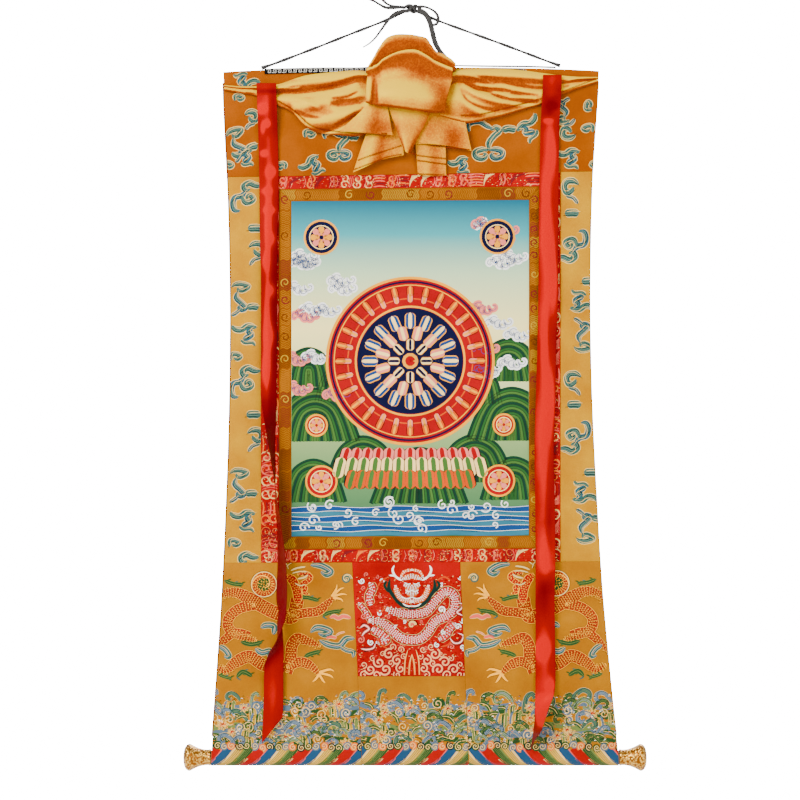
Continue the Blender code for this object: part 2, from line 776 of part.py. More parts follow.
def make_veil(collection, cutters):
    """The silk cover: swags, hood, pouch and hanging ends, joined into its one cloth."""
    pieces = (
        ("veil", pouch_sections(), 16, 17),
        ("veil_swag_left", swag_sections(SWAG_LEFT), 15, 9),
        ("veil_swag_right", swag_sections(SWAG_RIGHT), 15, 9),
        ("veil_hood", hood_sections(), 14, 8),
        ("veil_flap_triangle", flap_sections(FLAP_TRIANGLE), 5, 5),
        ("veil_flap_left", flap_sections(FLAP_LEFT), 5, 6),
        ("veil_flap_centre", flap_sections(FLAP_CENTRE), 5, 5),
        ("veil_flap_right", flap_sections(FLAP_RIGHT), 5, 5),
        ("veil_flap_tail", flap_sections(FLAP_TAIL), 5, 6),
    )
    veil = None
    for name, sections, across, down in pieces:
        holder = collection if veil is None else cutters
        piece = make_cloth(name, sections, across, down, SILK, "silk", holder)
        if veil is None:
            veil = piece
            gather = make_gather(cutters)
            join_to(veil, gather)
        else:
            piece.hide_render = True
            piece.display_type = "WIRE"
            join_to(veil, piece)


def make_gather(cutters):
    """The bunched cloth behind the pouch, where all the folds meet."""
    shape = bmesh.new()
    bmesh.ops.create_uvsphere(shape, u_segments=16, v_segments=8, radius=1.0)
    for vertex in shape.verts:
        vertex.co = Vector(
            (centre + radius * value) * MM
            for centre, radius, value in zip(GATHER_CENTRE, GATHER_RADII, vertex.co)
        )
    mesh = bpy.data.meshes.new("veil_gather")
    shape.to_mesh(mesh)
    shape.free()
    gather = add_object("veil_gather", mesh, "silk", cutters)
    gather.hide_render = True
    gather.display_type = "WIRE"
    return gather


def join_to(obj, other):
    joint = obj.modifiers.new(other.name, "BOOLEAN")
    joint.operation = "UNION"
    joint.solver = "EXACT"
    joint.object = other


def make_ribbon(name, table, collection):
    sections = []
    for z, x_left, y_left, x_middle, y_middle, x_right, y_right, slant in table:
        sections.append((
            (x_left, y_left, z),
            (x_middle, y_middle, z + slant / 2),
            (x_right, y_right, z + slant),
        ))
    across, down = GRIDS["ribbons"]
    lines = [smooth_line(section, across) for section in sections]
    columns = [smooth_line([line[column] for line in lines], down) for column in range(across + 1)]

    def place(column, row):
        return columns[column][down - row]

    grid_object(name, across, down, place, RIBBON_CLOTH, "ribbon", collection)


def make_rolled_run(name, route, points, collection):
    """A rolled run of the band along a smooth route, as a curve with closed ends."""
    line = smooth_line(route, points - 1)
    data = bpy.data.curves.new(name, "CURVE")
    data.dimensions = "3D"
    data.twist_mode = "Z_UP"
    data.bevel_depth = ROLLED_DIAMETER / 2 * MM
    data.bevel_resolution = 2
    data.use_fill_caps = True
    spline = data.splines.new("POLY")
    spline.points.add(len(line) - 1)
    for point, (x, y, z, share) in zip(spline.points, line):
        point.co = (x * MM, y * MM, z * MM, 1.0)
        point.radius = share
    return add_object(name, data, "band", collection)


def make_tape(collection):
    """The flat band sewn along the top edge: on the front at the left, on the top at the right."""
    line = smooth_line(TAPE_ROUTE, TAPE_STEPS)

    def place(column, row):
        x, y, z, tilt = line[column]
        angle = math.radians(tilt)
        offset = BAND_WIDTH * (row / 2 - 0.5)
        return x, y + offset * math.sin(angle), z + offset * math.cos(angle)

    tape = grid_object("top_tape", TAPE_STEPS, 2, place, BAND_THICKNESS, "band", collection)
    tape.modifiers["thickness"].offset = 0.0


def make_tail(name, route, collection):
    """A flat free end of the band, which faces the front and tapers by its share column."""
    line = smooth_line(route, TAIL_STEPS)

    def place(column, row):
        x, y, z, share = line[row]
        along = line[min(row + 1, TAIL_STEPS)] - line[max(row - 1, 0)]
        side = Vector((along[2], 0.0, -along[0])).normalized()
        return Vector((x, y, z)) + side * BAND_WIDTH * share * (0.5 - column / 2)

    tail = grid_object(name, 2, TAIL_STEPS, place, BAND_THICKNESS, "band", collection)
    tail.modifiers["thickness"].offset = 0.0


def make_hanging_band(collection):
    make_tape(collection)
    for name, route, points in (
        ("string_left", STRING_LEFT_ROUTE, 13),
        ("string_right", STRING_RIGHT_ROUTE, 13),
        ("loop_left", LOOP_LEFT_ROUTE, 23),
        ("loop_right", LOOP_RIGHT_ROUTE, 16),
    ):
        make_rolled_run(name, route, points, collection)
    make_tail("tail_left", TAIL_LEFT_ROUTE, collection)
    make_tail("tail_right", TAIL_RIGHT_ROUTE, collection)
    make_knot(collection)


def make_knot(collection):
    shape = bmesh.new()
    bmesh.ops.create_cube(shape, size=1.0)
    for vertex in shape.verts:
        vertex.co = Vector(
            (centre + size * value) * MM
            for centre, size, value in zip(KNOT_CENTRE, KNOT_SIZE, vertex.co)
        )
    mesh = bpy.data.meshes.new("knot")
    shape.to_mesh(mesh)
    shape.free()
    knot = add_object("knot", mesh, "band", collection)
    edge = knot.modifiers.new("rounding", "BEVEL")
    edge.width = KNOT_ROUNDING * MM
    edge.segments = 2


def make_roller(collection):
    shape = bmesh.new()
    length = ROLLER_ENDS[1] - ROLLER_ENDS[0]
    bmesh.ops.create_cone(
        shape, cap_ends=True, segments=ROLLER_SIDES,
        radius1=ROLLER_RADIUS * MM, radius2=ROLLER_RADIUS * MM, depth=length * MM,
    )
    mesh = bpy.data.meshes.new("bottom_roller")
    shape.to_mesh(mesh)
    shape.free()
    roller = add_object("bottom_roller", mesh, "wood", collection)
    roller.rotation_euler = (0.0, math.radians(90), 0.0)
    roller.location = (sum(ROLLER_ENDS) / 2 * MM, SLEEVE_RADIUS * MM, ROLLER_Z * MM)


def make_knob(name, mouth, turn, collection):
    """A turned metal knob with a bore for the roller's end, spun about its own axis."""
    profile = [(0.0, KNOB_BORE_DEPTH), (KNOB_BORE_RADIUS, KNOB_BORE_DEPTH), (KNOB_BORE_RADIUS, 0.0)]
    profile += [(radius, distance) for distance, radius in KNOB_PROFILE]
    shape = bmesh.new()
    points = [shape.verts.new((radius * MM, 0.0, -distance * MM)) for radius, distance in profile]
    for first, second in zip(points, points[1:]):
        shape.edges.new((first, second))
    mesh = bpy.data.meshes.new(name)
    shape.to_mesh(mesh)
    shape.free()
    knob = add_object(name, mesh, "gold_metal", collection)
    spin = knob.modifiers.new("turning", "SCREW")
    spin.steps = KNOB_STEPS
    spin.render_steps = KNOB_STEPS
    spin.use_merge_vertices = True
    spin.merge_threshold = 0.00001
    spin.use_smooth_shade = True
    knob.rotation_euler = (0.0, math.radians(turn), 0.0)
    knob.location = (mouth * MM, SLEEVE_RADIUS * MM, ROLLER_Z * MM)


def main():
    clear_scene()
    thangka = bpy.data.collections.new("thangka")
    cutters = bpy.data.collections.new("cutters")
    for collection in (thangka, cutters):
        bpy.context.scene.collection.children.link(collection)
    make_mount(thangka)
    make_lining(thangka)
    make_veil(thangka, cutters)
    make_ribbon("ribbon_left", RIBBON_LEFT, thangka)
    make_ribbon("ribbon_right", RIBBON_RIGHT, thangka)
    make_hanging_band(thangka)
    make_roller(thangka)
    make_knob("knob_left", KNOB_MOUTHS[0], 90, thangka)
    make_knob("knob_right", KNOB_MOUTHS[1], -90, thangka)


main()
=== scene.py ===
# Looks of a thangka scroll painting: camera and band first, then each cloth on its hung surface.
# Lengths are in millimetres in the tables and become metres as each mesh is written.
import math
import random

import bmesh
import bpy
import numpy as np
from mathutils import Matrix, Vector
from mathutils.bvhtree import BVHTree


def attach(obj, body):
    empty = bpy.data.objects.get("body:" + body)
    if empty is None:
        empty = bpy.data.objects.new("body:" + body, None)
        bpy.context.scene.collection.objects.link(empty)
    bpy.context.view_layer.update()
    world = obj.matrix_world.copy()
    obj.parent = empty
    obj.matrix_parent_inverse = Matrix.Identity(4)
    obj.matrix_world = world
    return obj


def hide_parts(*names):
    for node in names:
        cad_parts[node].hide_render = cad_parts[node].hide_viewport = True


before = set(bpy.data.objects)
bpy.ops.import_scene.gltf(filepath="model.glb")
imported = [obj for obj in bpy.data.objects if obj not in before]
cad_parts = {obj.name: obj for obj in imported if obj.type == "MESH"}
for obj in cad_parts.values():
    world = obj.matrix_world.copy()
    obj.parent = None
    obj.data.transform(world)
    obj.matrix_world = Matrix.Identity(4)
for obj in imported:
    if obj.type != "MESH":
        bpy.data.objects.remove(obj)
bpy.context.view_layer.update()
mm = 0.001
print("frame loaded:", len(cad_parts), "nodes")


# Tones are written as screen values from 0 to 255
def tone(red, green, blue):
    def linear(value):
        value = value / 255
        return value / 12.92 if value <= 0.04045 else ((value + 0.055) / 1.055) ** 2.4

    return (linear(red), linear(green), linear(blue), 1.0)


# Smooth curves through tables, and cloth surfaces through sections
def readTable(table, place, column):
    rows = sorted(table)
    places = np.array([row[0] for row in rows], float)
    values = np.array([row[column] for row in rows], float)
    gaps = np.diff(places)
    slopes = np.empty(len(rows))
    slopes[1:-1] = (values[2:] - values[:-2]) / (places[2:] - places[:-2])
    slopes[0] = (values[1] - values[0]) / gaps[0] / 2
    slopes[-1] = (values[-1] - values[-2]) / gaps[-1] / 2
    place = np.clip(place, places[0], places[-1])
    i = np.clip(np.searchsorted(places, place, side="right") - 1, 0, len(rows) - 2)
    span, t = gaps[i], (place - places[i]) / gaps[i]
    return (
        (2 * t**3 - 3 * t**2 + 1) * values[i]
        + (t**3 - 2 * t**2 + t) * slopes[i] * span
        + (3 * t**2 - 2 * t**3) * values[i + 1]
        + (t**3 - t**2) * slopes[i + 1] * span
    )


def smoothLine(points, count):
    points = np.array(points, float)
    steps = np.maximum(np.linalg.norm(np.diff(points, axis=0), axis=1), 1e-6)
    places = np.concatenate([[0.0], np.cumsum(steps)])
    spread = np.linspace(0.0, places[-1], count)
    table = [(place, *point) for place, point in zip(places, points)]
    return np.stack([readTable(table, spread, axis + 1) for axis in range(points.shape[1])], axis=1)


def clothSurface(sections, across, down):
    lines = np.array([smoothLine(section, down + 1) for section in sections])
    return np.array([smoothLine(lines[:, row], across + 1) for row in range(down + 1)])


# The hung shape of the mount, which every flat cloth in it follows
mount = {
    "sideEdges": [
        (-70, -234.5, 235.0),
        (-114, -233.5, 233.0),
        (-164, -231.0, 229.5),
        (-239, -227.5, 225.5),
        (-364, -225.0, 223.5),
        (-489, -226.0, 226.0),
        (-614, -230.0, 232.0),
        (-739, -236.0, 240.0),
        (-864, -244.5, 252.0),
        (-950, -250.5, 260.5),
    ],
    "levels": [
        (-70, 0.7, 5.0),
        (-120, 1.5, 0.5),
        (-206, 3.7, 0.0),
        (-240, 1.3, 0.0),
        (-692, 0.9, 0.0),
        (-900, 0.4, 0.0),
        (-950, 0.4, 2.0),
    ],
    "folds": [
        (-228, -858, -165, -792, 2.0, 18),
        (-150, -872, -98, -800, 1.6, 17),
        (-218, -758, -120, -738, -1.4, 16),
        (108, -862, 172, -782, 2.2, 18),
        (196, -842, 242, -766, 1.8, 17),
        (88, -742, 184, -762, -1.4, 16),
        (-44, -892, 46, -878, 1.4, 17),
        (-228, -424, -192, -400, 1.3, 17),
        (-230, -566, -192, -590, -1.2, 17),
        (192, -300, 226, -330, 1.3, 17),
        (190, -506, 230, -474, -1.2, 17),
        (-230, -150, -120, -190, 1.2, 17),
        (100, -188, 226, -142, 1.4, 17),
        (-100, -500, 90, -480, 1.2, 70),
        (0, -250, 10, -350, -0.9, 55),
    ],
    "halfWidth": 234.0,
    "top": -73.0,
    "rollerZ": -937.0,
    "flatTop": 16.0,
    "flatFoot": 4.0,
    "flatFade": 40.0,
    "canvas": {"left": -149.5, "right": 147.5, "bottom": -659.0, "top": -239.5},
    "goldFrame": {"left": -165.0, "right": 161.0, "bottom": -675.0, "top": -223.5},
    "redFrame": {"left": -187.5, "right": 187.0, "bottom": -691.5, "top": -206.5},
    "doorBottom": -834.0,
    "seamLeft": (-73.5, -61.0),
    "seamRight": (61.5, 72.5),
    "cloth": 0.7,
    "seamGap": 0.06,
    "seamDip": 0.35,
    "seamReach": 1.6,
    "liningDepth": 2.2,
    "hemRadius": 1.6,
    "hemDepth": 12.0,
    "sleeveRadius": 9.9,
    "sleeveTop": -909.5,
}


def leftEdge(z):
    return readTable(mount["sideEdges"], z, 1)


def rightEdge(z):
    return readTable(mount["sideEdges"], z, 2)


def levelAt(x, z):
    share = x / mount["halfWidth"]
    rise, droop = readTable(mount["levels"], z, 1), readTable(mount["levels"], z, 2)
    return z + rise * share - droop * np.abs(share) ** 3


def drapeDepth(x, z):
    depth = 0.7 * np.sin(x / 62.0 + z / 150.0)
    for x1, z1, x2, z2, height, spread in mount["folds"]:
        alongX, alongZ = x2 - x1, z2 - z1
        share = ((x - x1) * alongX + (z - z1) * alongZ) / (alongX**2 + alongZ**2)
        share = np.clip(share, 0.0, 1.0)
        distance = np.hypot(x - x1 - alongX * share, z - z1 - alongZ * share)
        depth = depth + height * np.exp(-((distance / spread) ** 2))
    topFade = np.clip((mount["top"] - mount["flatTop"] - z) / mount["flatFade"], 0, 1)
    footFade = np.clip((z - mount["rollerZ"] - mount["flatFoot"]) / mount["flatFade"], 0, 1)
    return -depth * topFade * footFade


def onMount(x, z, height=0.0):
    level = levelAt(x, z)
    return np.stack([x, drapeDepth(x, level) - height, level], axis=-1)


# Meshes: a grid from its operator, whose points then take their places
def readSpots(mesh):
    spots = np.empty(len(mesh.vertices) * 3)
    mesh.vertices.foreach_get("co", spots)
    return spots.reshape(-1, 3)


def writeSpots(mesh, spots):
    mesh.vertices.foreach_set("co", np.ascontiguousarray(spots, float).ravel())
    mesh.update()


def writeUv(mesh, flat):
    layer = mesh.uv_layers.get("UVMap") or mesh.uv_layers.new(name="UVMap")
    corners = np.empty(len(mesh.loops), np.int32)
    mesh.loops.foreach_get("vertex_index", corners)
    layer.data.foreach_set("uv", np.ascontiguousarray(flat[corners], np.float32).ravel())


def gridMesh(name, spots):
    rows, columns = spots.shape[0] - 1, spots.shape[1] - 1
    shape = bmesh.new()
    bmesh.ops.create_grid(shape, x_segments=columns, y_segments=rows, size=0.5)
    mesh = bpy.data.meshes.new(name)
    shape.to_mesh(mesh)
    shape.free()
    flat = readSpots(mesh)
    column = np.rint((flat[:, 0] + 0.5) * columns).astype(int)
    row = np.rint((flat[:, 1] + 0.5) * rows).astype(int)
    across = np.cumsum(np.linalg.norm(np.diff(spots, axis=1, prepend=spots[:, :1]), axis=2), axis=1)
    down = np.cumsum(np.linalg.norm(np.diff(spots, axis=0, prepend=spots[:1]), axis=2), axis=0)
    writeUv(mesh, np.stack([across[row, column], down[row, column]], axis=1) * mm)
    writeSpots(mesh, spots[row, column] * mm)
    mesh.shade_smooth()
    return mesh


def addPiece(name, mesh, materials, nodes=()):
    piece = bpy.data.objects.new(name, mesh)
    bpy.context.scene.collection.objects.link(piece)
    for material in materials:
        mesh.materials.append(material)
    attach(piece, "root")
    if nodes:
        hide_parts(*nodes)
    return piece


def thicken(piece, thickness, offset=-1.0):
    solid = piece.modifiers.new("thickness", "SOLIDIFY")
    solid.thickness = thickness * mm
    solid.offset = offset
    return piece


def joinMeshes(name, meshes):
    shape = bmesh.new()
    for mesh in meshes:
        shape.from_mesh(mesh)
        bpy.data.meshes.remove(mesh)
    joined = bpy.data.meshes.new(name)
    shape.to_mesh(joined)
    shape.free()
    joined.shade_smooth()
    return joined


def edgedSteps(start, end, cell, margin=(0.0, 0.5, 1.2, 2.2, 3.6)):
    count = max(2, round(abs(end - start) / cell))
    way = 1 if end > start else -1
    near = [start + way * step for step in margin]
    far = [end - way * step for step in reversed(margin)]
    middle = np.linspace(near[-1], far[0], count)[1:-1]
    return np.concatenate([near, middle, far])


# Materials
def startMaterial(name):
    material = bpy.data.materials.new(name)
    material.use_nodes = True
    return material, material.node_tree, material.node_tree.nodes["Principled BSDF"]


def addNode(tree, kind, **values):
    node = tree.nodes.new(kind)
    for key, value in values.items():
        setattr(node, key, value)
    return node


def blendTones(tree, factor, first, second):
    mix = addNode(tree, "ShaderNodeMix", data_type="RGBA")
    for socket, value in ((mix.inputs[0], factor), (mix.inputs[6], first), (mix.inputs[7], second)):
        if isinstance(value, bpy.types.NodeSocket):
            tree.links.new(value, socket)
        else:
            socket.default_value = value
    return mix.outputs[2]


def makeThreadGroup():
    group = bpy.data.node_groups.new("clothThread", "ShaderNodeTree")
    for name, kind in (("Vector", "NodeSocketVector"), ("Threads", "NodeSocketFloat")):
        group.interface.new_socket(name=name, in_out="INPUT", socket_type=kind)
    for name in ("Height", "Cloudy", "Fleck"):
        group.interface.new_socket(name=name, in_out="OUTPUT", socket_type="NodeSocketFloat")
    start, end = group.nodes.new("NodeGroupInput"), group.nodes.new("NodeGroupOutput")
    scale = addNode(group, "ShaderNodeVectorMath", operation="SCALE")
    group.links.new(start.outputs["Vector"], scale.inputs[0])
    group.links.new(start.outputs["Threads"], scale.inputs["Scale"])
    waves = []
    for direction in ("X", "DIAGONAL"):
        wave = addNode(group, "ShaderNodeTexWave", bands_direction=direction)
        wave.inputs["Scale"].default_value = 0.32
        wave.inputs["Distortion"].default_value = 0.6
        group.links.new(scale.outputs[0], wave.inputs["Vector"])
        waves.append(wave)
    weave = addNode(group, "ShaderNodeMath", operation="MULTIPLY")
    for wave, socket in zip(waves, weave.inputs):
        group.links.new(wave.outputs["Fac"], socket)
    group.links.new(weave.outputs[0], end.inputs["Height"])
    for name, size, detail in (("Cloudy", 22.0, 4.0), ("Fleck", 620.0, 2.0)):
        noise = addNode(group, "ShaderNodeTexNoise")
        noise.inputs["Scale"].default_value = size
        noise.inputs["Detail"].default_value = detail
        group.links.new(start.outputs["Vector"], noise.inputs["Vector"])
        group.links.new(noise.outputs["Fac"], end.inputs[name])
    return group


threadGroup = makeThreadGroup()


def clothMaterial(name, light, dark, threads=1400, bump=0.25, roughness=0.6, uv=False):
    material, tree, shader = startMaterial(name)
    place = addNode(tree, "ShaderNodeTexCoord")
    thread = addNode(tree, "ShaderNodeGroup", node_tree=threadGroup)
    thread.inputs["Threads"].default_value = threads
    tree.links.new(place.outputs["UV" if uv else "Object"], thread.inputs["Vector"])
    cloudy = addNode(tree, "ShaderNodeMapRange")
    cloudy.inputs["From Min"].default_value = 0.3
    cloudy.inputs["From Max"].default_value = 0.72
    tree.links.new(thread.outputs["Cloudy"], cloudy.inputs["Value"])
    base = blendTones(tree, cloudy.outputs[0], dark, light)
    fleck = addNode(tree, "ShaderNodeMath", operation="MULTIPLY")
    fleck.inputs[1].default_value = 0.32
    tree.links.new(thread.outputs["Fleck"], fleck.inputs[0])
    final = blendTones(tree, fleck.outputs[0], base, tuple(0.55 * value for value in dark[:3]) + (1.0,))
    tree.links.new(final, shader.inputs["Base Color"])
    relief = addNode(tree, "ShaderNodeBump")
    relief.inputs["Strength"].default_value = bump
    relief.inputs["Distance"].default_value = 0.0003
    tree.links.new(thread.outputs["Height"], relief.inputs["Height"])
    wrinkle = addNode(tree, "ShaderNodeBump")
    wrinkle.inputs["Strength"].default_value = 0.35
    wrinkle.inputs["Distance"].default_value = 0.004
    tree.links.new(thread.outputs["Cloudy"], wrinkle.inputs["Height"])
    tree.links.new(relief.outputs[0], wrinkle.inputs["Normal"])
    tree.links.new(wrinkle.outputs[0], shader.inputs["Normal"])
    shader.inputs["Roughness"].default_value = roughness
    shader.inputs["Specular IOR Level"].default_value = 0.3
    shader.inputs["Specular Tint"].default_value = light
    return material


def satinMaterial(name, ramp, shine, damask=0.0):
    # A glossy cloth whose tone follows how far it turns to the light
    material, tree, shader = startMaterial(name)
    place = addNode(tree, "ShaderNodeTexCoord")
    thread = addNode(tree, "ShaderNodeGroup", node_tree=threadGroup)
    thread.inputs["Threads"].default_value = 1100
    tree.links.new(place.outputs["UV"], thread.inputs["Vector"])
    shade = addNode(tree, "ShaderNodeAttribute", attribute_name="shade")
    cloudy = addNode(tree, "ShaderNodeMath", operation="MULTIPLY_ADD")
    cloudy.inputs[1].default_value = 0.24
    figure = addNode(tree, "ShaderNodeTexNoise")
    figure.inputs["Scale"].default_value = 190
    figure.inputs["Distortion"].default_value = 2.4
    tree.links.new(place.outputs["Object"], figure.inputs["Vector"])
    raised = addNode(tree, "ShaderNodeMapRange")
    raised.inputs["From Min"].default_value = 0.5
    raised.inputs["From Max"].default_value = 0.54
    raised.inputs["To Min"].default_value = -damask
    raised.inputs["To Max"].default_value = damask
    tree.links.new(figure.outputs["Fac"], raised.inputs["Value"])
    # The shade attribute carries painted light and shade; the damask figure is added to it and the thread's cloudiness
    # on top, then the ramp turns it to colour
    woven = addNode(tree, "ShaderNodeMath", operation="ADD")
    tree.links.new(shade.outputs["Fac"], woven.inputs[0])
    tree.links.new(raised.outputs[0], woven.inputs[1])
    tree.links.new(thread.outputs["Cloudy"], cloudy.inputs[0])
    tree.links.new(woven.outputs[0], cloudy.inputs[2])
    colours = addNode(tree, "ShaderNodeValToRGB")
    points = colours.color_ramp.elements
    points[0].position, points[0].color = ramp[0]
    points[1].position, points[1].color = ramp[-1]
    for position, colour in ramp[1:-1]:
        points.new(position).color = colour
    tree.links.new(cloudy.outputs[0], colours.inputs["Fac"])
    tree.links.new(colours.outputs["Color"], shader.inputs["Base Color"])
    relief = addNode(tree, "ShaderNodeBump")
    relief.inputs["Strength"].default_value = 0.08
    relief.inputs["Distance"].default_value = 0.0003
    tree.links.new(thread.outputs["Height"], relief.inputs["Height"])
    tree.links.new(relief.outputs[0], shader.inputs["Normal"])
    shader.inputs["Roughness"].default_value = 0.42
    shader.inputs["Specular IOR Level"].default_value = 0.25
    shader.inputs["Specular Tint"].default_value = shine
    return material


def solidMaterial(name, light, dark, metallic, roughness, bump, size):
    # Embossed metal or grained wood, its relief in soft bosses
    material, tree, shader = startMaterial(name)
    place = addNode(tree, "ShaderNodeTexCoord")
    stretch = addNode(tree, "ShaderNodeMapping")
    stretch.inputs["Scale"].default_value = size
    tree.links.new(place.outputs["Object"], stretch.inputs["Vector"])
    cells = addNode(tree, "ShaderNodeTexVoronoi", feature="SMOOTH_F1")
    cells.inputs["Scale"].default_value = 1.0
    tree.links.new(stretch.outputs[0], cells.inputs["Vector"])
    ripple = addNode(tree, "ShaderNodeMapRange")
    ripple.inputs["From Max"].default_value = 0.55
    tree.links.new(cells.outputs["Distance"], ripple.inputs["Value"])
    base = blendTones(tree, ripple.outputs[0], light, dark)
    tree.links.new(base, shader.inputs["Base Color"])
    relief = addNode(tree, "ShaderNodeBump", invert=True)
    relief.inputs["Strength"].default_value = bump
    relief.inputs["Distance"].default_value = 0.0008
    tree.links.new(ripple.outputs[0], relief.inputs["Height"])
    tree.links.new(relief.outputs[0], shader.inputs["Normal"])
    shader.inputs["Metallic"].default_value = metallic
    shader.inputs["Roughness"].default_value = roughness
    return material


def canvasMaterial():
    # Painted canvas: a teal sky that pales to yellow over meadow greens
    material, tree, shader = startMaterial("canvas")
    place = addNode(tree, "ShaderNodeTexCoord")
    parts = addNode(tree, "ShaderNodeSeparateXYZ")
    tree.links.new(place.outputs["Object"], parts.inputs[0])
    rise = addNode(tree, "ShaderNodeMapRange")
    rise.inputs["From Min"].default_value = -0.6605
    rise.inputs["From Max"].default_value = -0.2395
    tree.links.new(parts.outputs["Z"], rise.inputs["Value"])
    ramp = addNode(tree, "ShaderNodeValToRGB")
    points = ramp.color_ramp.elements
    points[0].position, points[0].color = 0.0, tone(26, 70, 44)
    points[1].position, points[1].color = 1.0, tone(0, 74, 92)
    for position, colour in (
        (0.16, tone(70, 106, 62)), (0.36, tone(122, 140, 84)), (0.42, tone(150, 160, 110)), (0.62, tone(206, 190, 120)),
        (0.78, tone(150, 170, 130)), (0.9, tone(44, 124, 128)),
    ):
        points.new(position).color = colour
    tree.links.new(rise.outputs[0], ramp.inputs["Fac"])
    tree.links.new(ramp.outputs["Color"], shader.inputs["Base Color"])
    shader.inputs["Roughness"].default_value = 0.7
    shader.inputs["Specular IOR Level"].default_value = 0.1
    return material


def bandMaterial():
    # A black band woven with white flecks, slanting along it
    material, tree, shader = startMaterial("band")
    place = addNode(tree, "ShaderNodeTexCoord")
    slant = addNode(tree, "ShaderNodeMapping")
    slant.inputs["Rotation"].default_value = (0.0, 0.0, math.radians(38))
    slant.inputs["Scale"].default_value = (380, 260, 1)
    tree.links.new(place.outputs["UV"], slant.inputs["Vector"])
    cells = addNode(tree, "ShaderNodeTexBrick")
    cells.inputs["Scale"].default_value = 1.0
    cells.inputs["Mortar Size"].default_value = 0.035
    cells.inputs["Mortar Smooth"].default_value = 0.1
    cells.inputs["Brick Width"].default_value = 0.9
    cells.inputs["Row Height"].default_value = 0.5
    cells.inputs["Color1"].default_value = tone(10, 9, 10)
    cells.inputs["Color2"].default_value = tone(16, 15, 16)
    cells.inputs["Mortar"].default_value = tone(84, 80, 74)
    tree.links.new(slant.outputs[0], cells.inputs["Vector"])
    tree.links.new(cells.outputs["Color"], shader.inputs["Base Color"])
    relief = addNode(tree, "ShaderNodeBump")
    relief.inputs["Strength"].default_value = 0.5
    relief.inputs["Distance"].default_value = 0.0003
    tree.links.new(cells.outputs["Fac"], relief.inputs["Height"])
    tree.links.new(relief.outputs[0], shader.inputs["Normal"])
    shader.inputs["Roughness"].default_value = 0.75
    shader.inputs["Specular IOR Level"].default_value = 0.2
    return material


finishes = {
    "gilt": solidMaterial("gilt", tone(238, 190, 84), tone(120, 66, 8), 1.0, 0.3, 0.9, (420, 420, 420)),
    "wood": solidMaterial("wood", tone(150, 104, 60), tone(120, 78, 40), 0.0, 0.55, 0.1, (30, 300, 300)),
    "goldSatin": clothMaterial("goldSatin", tone(168, 120, 0), tone(144, 90, 0)),
    "goldLower": clothMaterial("goldLower", tone(146, 94, 2), tone(124, 70, 0)),
    # goldSatinShaded is the side panels' gold satin painted darker and more orange for the top panel: painted shade
    "goldSatinShaded": clothMaterial("goldSatinShaded", tone(130, 64, 0), tone(112, 50, 0)),
    "goldStrip": clothMaterial("goldStrip", tone(118, 64, 2), tone(96, 46, 4)),
    "tape": clothMaterial("tape", tone(12, 11, 12), tone(8, 8, 9), roughness=0.8),
    "redStrip": clothMaterial("redStrip", tone(146, 0, 2), tone(118, 0, 4)),
    "canvas": canvasMaterial(),
    "lining": clothMaterial("lining", tone(74, 4, 8), tone(60, 2, 6), threads=900),
    # The ribbon and silk ramps run from painted shade at 0 to painted highlight at 1
    "ribbon": satinMaterial("ribbon", [(0.0, tone(66, 0, 6)), (0.45, tone(88, 0, 4)), (0.8, tone(112, 0, 0)), (1.0, tone(158, 0, 0))], tone(255, 30, 16)),
    "silk": satinMaterial("silk", [(0.0, tone(98, 26, 0)), (0.2, tone(124, 46, 0)), (0.42, tone(150, 78, 0)), (0.7, tone(178, 116, 0)), (1.0, tone(186, 146, 0))], tone(255, 200, 0), 0.07),
    "band": bandMaterial(),
}

threadTones = {
    "cream": (210, 170, 96),
    "teal": (44, 78, 68),
    "blueTeal": (36, 72, 82),
    "paleTeal": (84, 112, 96),
    "violetRed": (96, 20, 24),
    "stitch": (124, 30, 0),
    "darkTeal": (14, 34, 30),
    "goldThread": (240, 160, 20),
    "goldSatinThread": (150, 90, 2),
    "terracotta": (130, 38, 10),
    "brown": (53, 22, 14),
    "paleGreen": (92, 104, 50),
    "green": (32, 60, 26),
    "greyBlue": (72, 88, 100),
    "paleBlue": (112, 124, 134),
    "white": (235, 232, 220),
    "yellow": (160, 120, 16),
    "greyWhite": (200, 196, 186),
    "peach": (205, 92, 20),
    "red": (142, 6, 6),
    "redDark": (70, 0, 6),
    "blue": (28, 60, 88),
    "pink": (204, 78, 62),
    "rose": (176, 40, 34),
    "orangeThread": (176, 52, 4),
    "brownGold": (84, 38, 8),
    "paintSky": (0, 92, 106),
    "paintSkyLow": (40, 136, 138),
    "paintHill": (34, 78, 34),
    "paintHillDark": (16, 50, 34),
    "paintGreen": (60, 96, 40),
    "paintCloud": (225, 222, 214),
    "paintRed": (142, 6, 12),
    "paintNavy": (13, 14, 42),
    "paintGold": (220, 140, 10),
    "paintPink": (215, 110, 96),
    "paintCream": (240, 200, 120),
    "paintOrange": (190, 66, 4),
    "paintBlue": (22, 56, 104),
    "paintWater": (40, 96, 112),
    "paintLine": (30, 20, 18),
}
threads = {
    name: clothMaterial(name, tone(*shown), tone(*(value * 0.86 for value in shown)), bump=0.15)
    for name, shown in threadTones.items()
}
print("materials made")


# Camera square to the painting, as the photograph has it
view = {"centreX": -13.75, "centreZ": -488.75, "distance": 2777.8, "lens": 100.0}


def makeCamera():
    data = bpy.data.cameras.new("camera")
    data.lens = view["lens"]
    data.sensor_width = 36.0
    camera = bpy.data.objects.new("camera", data)
    camera.location = (view["centreX"] * mm, -view["distance"] * mm, view["centreZ"] * mm)
    camera.rotation_euler = (math.radians(90), 0.0, 0.0)
    bpy.context.scene.collection.objects.link(camera)
    bpy.context.scene.camera = camera


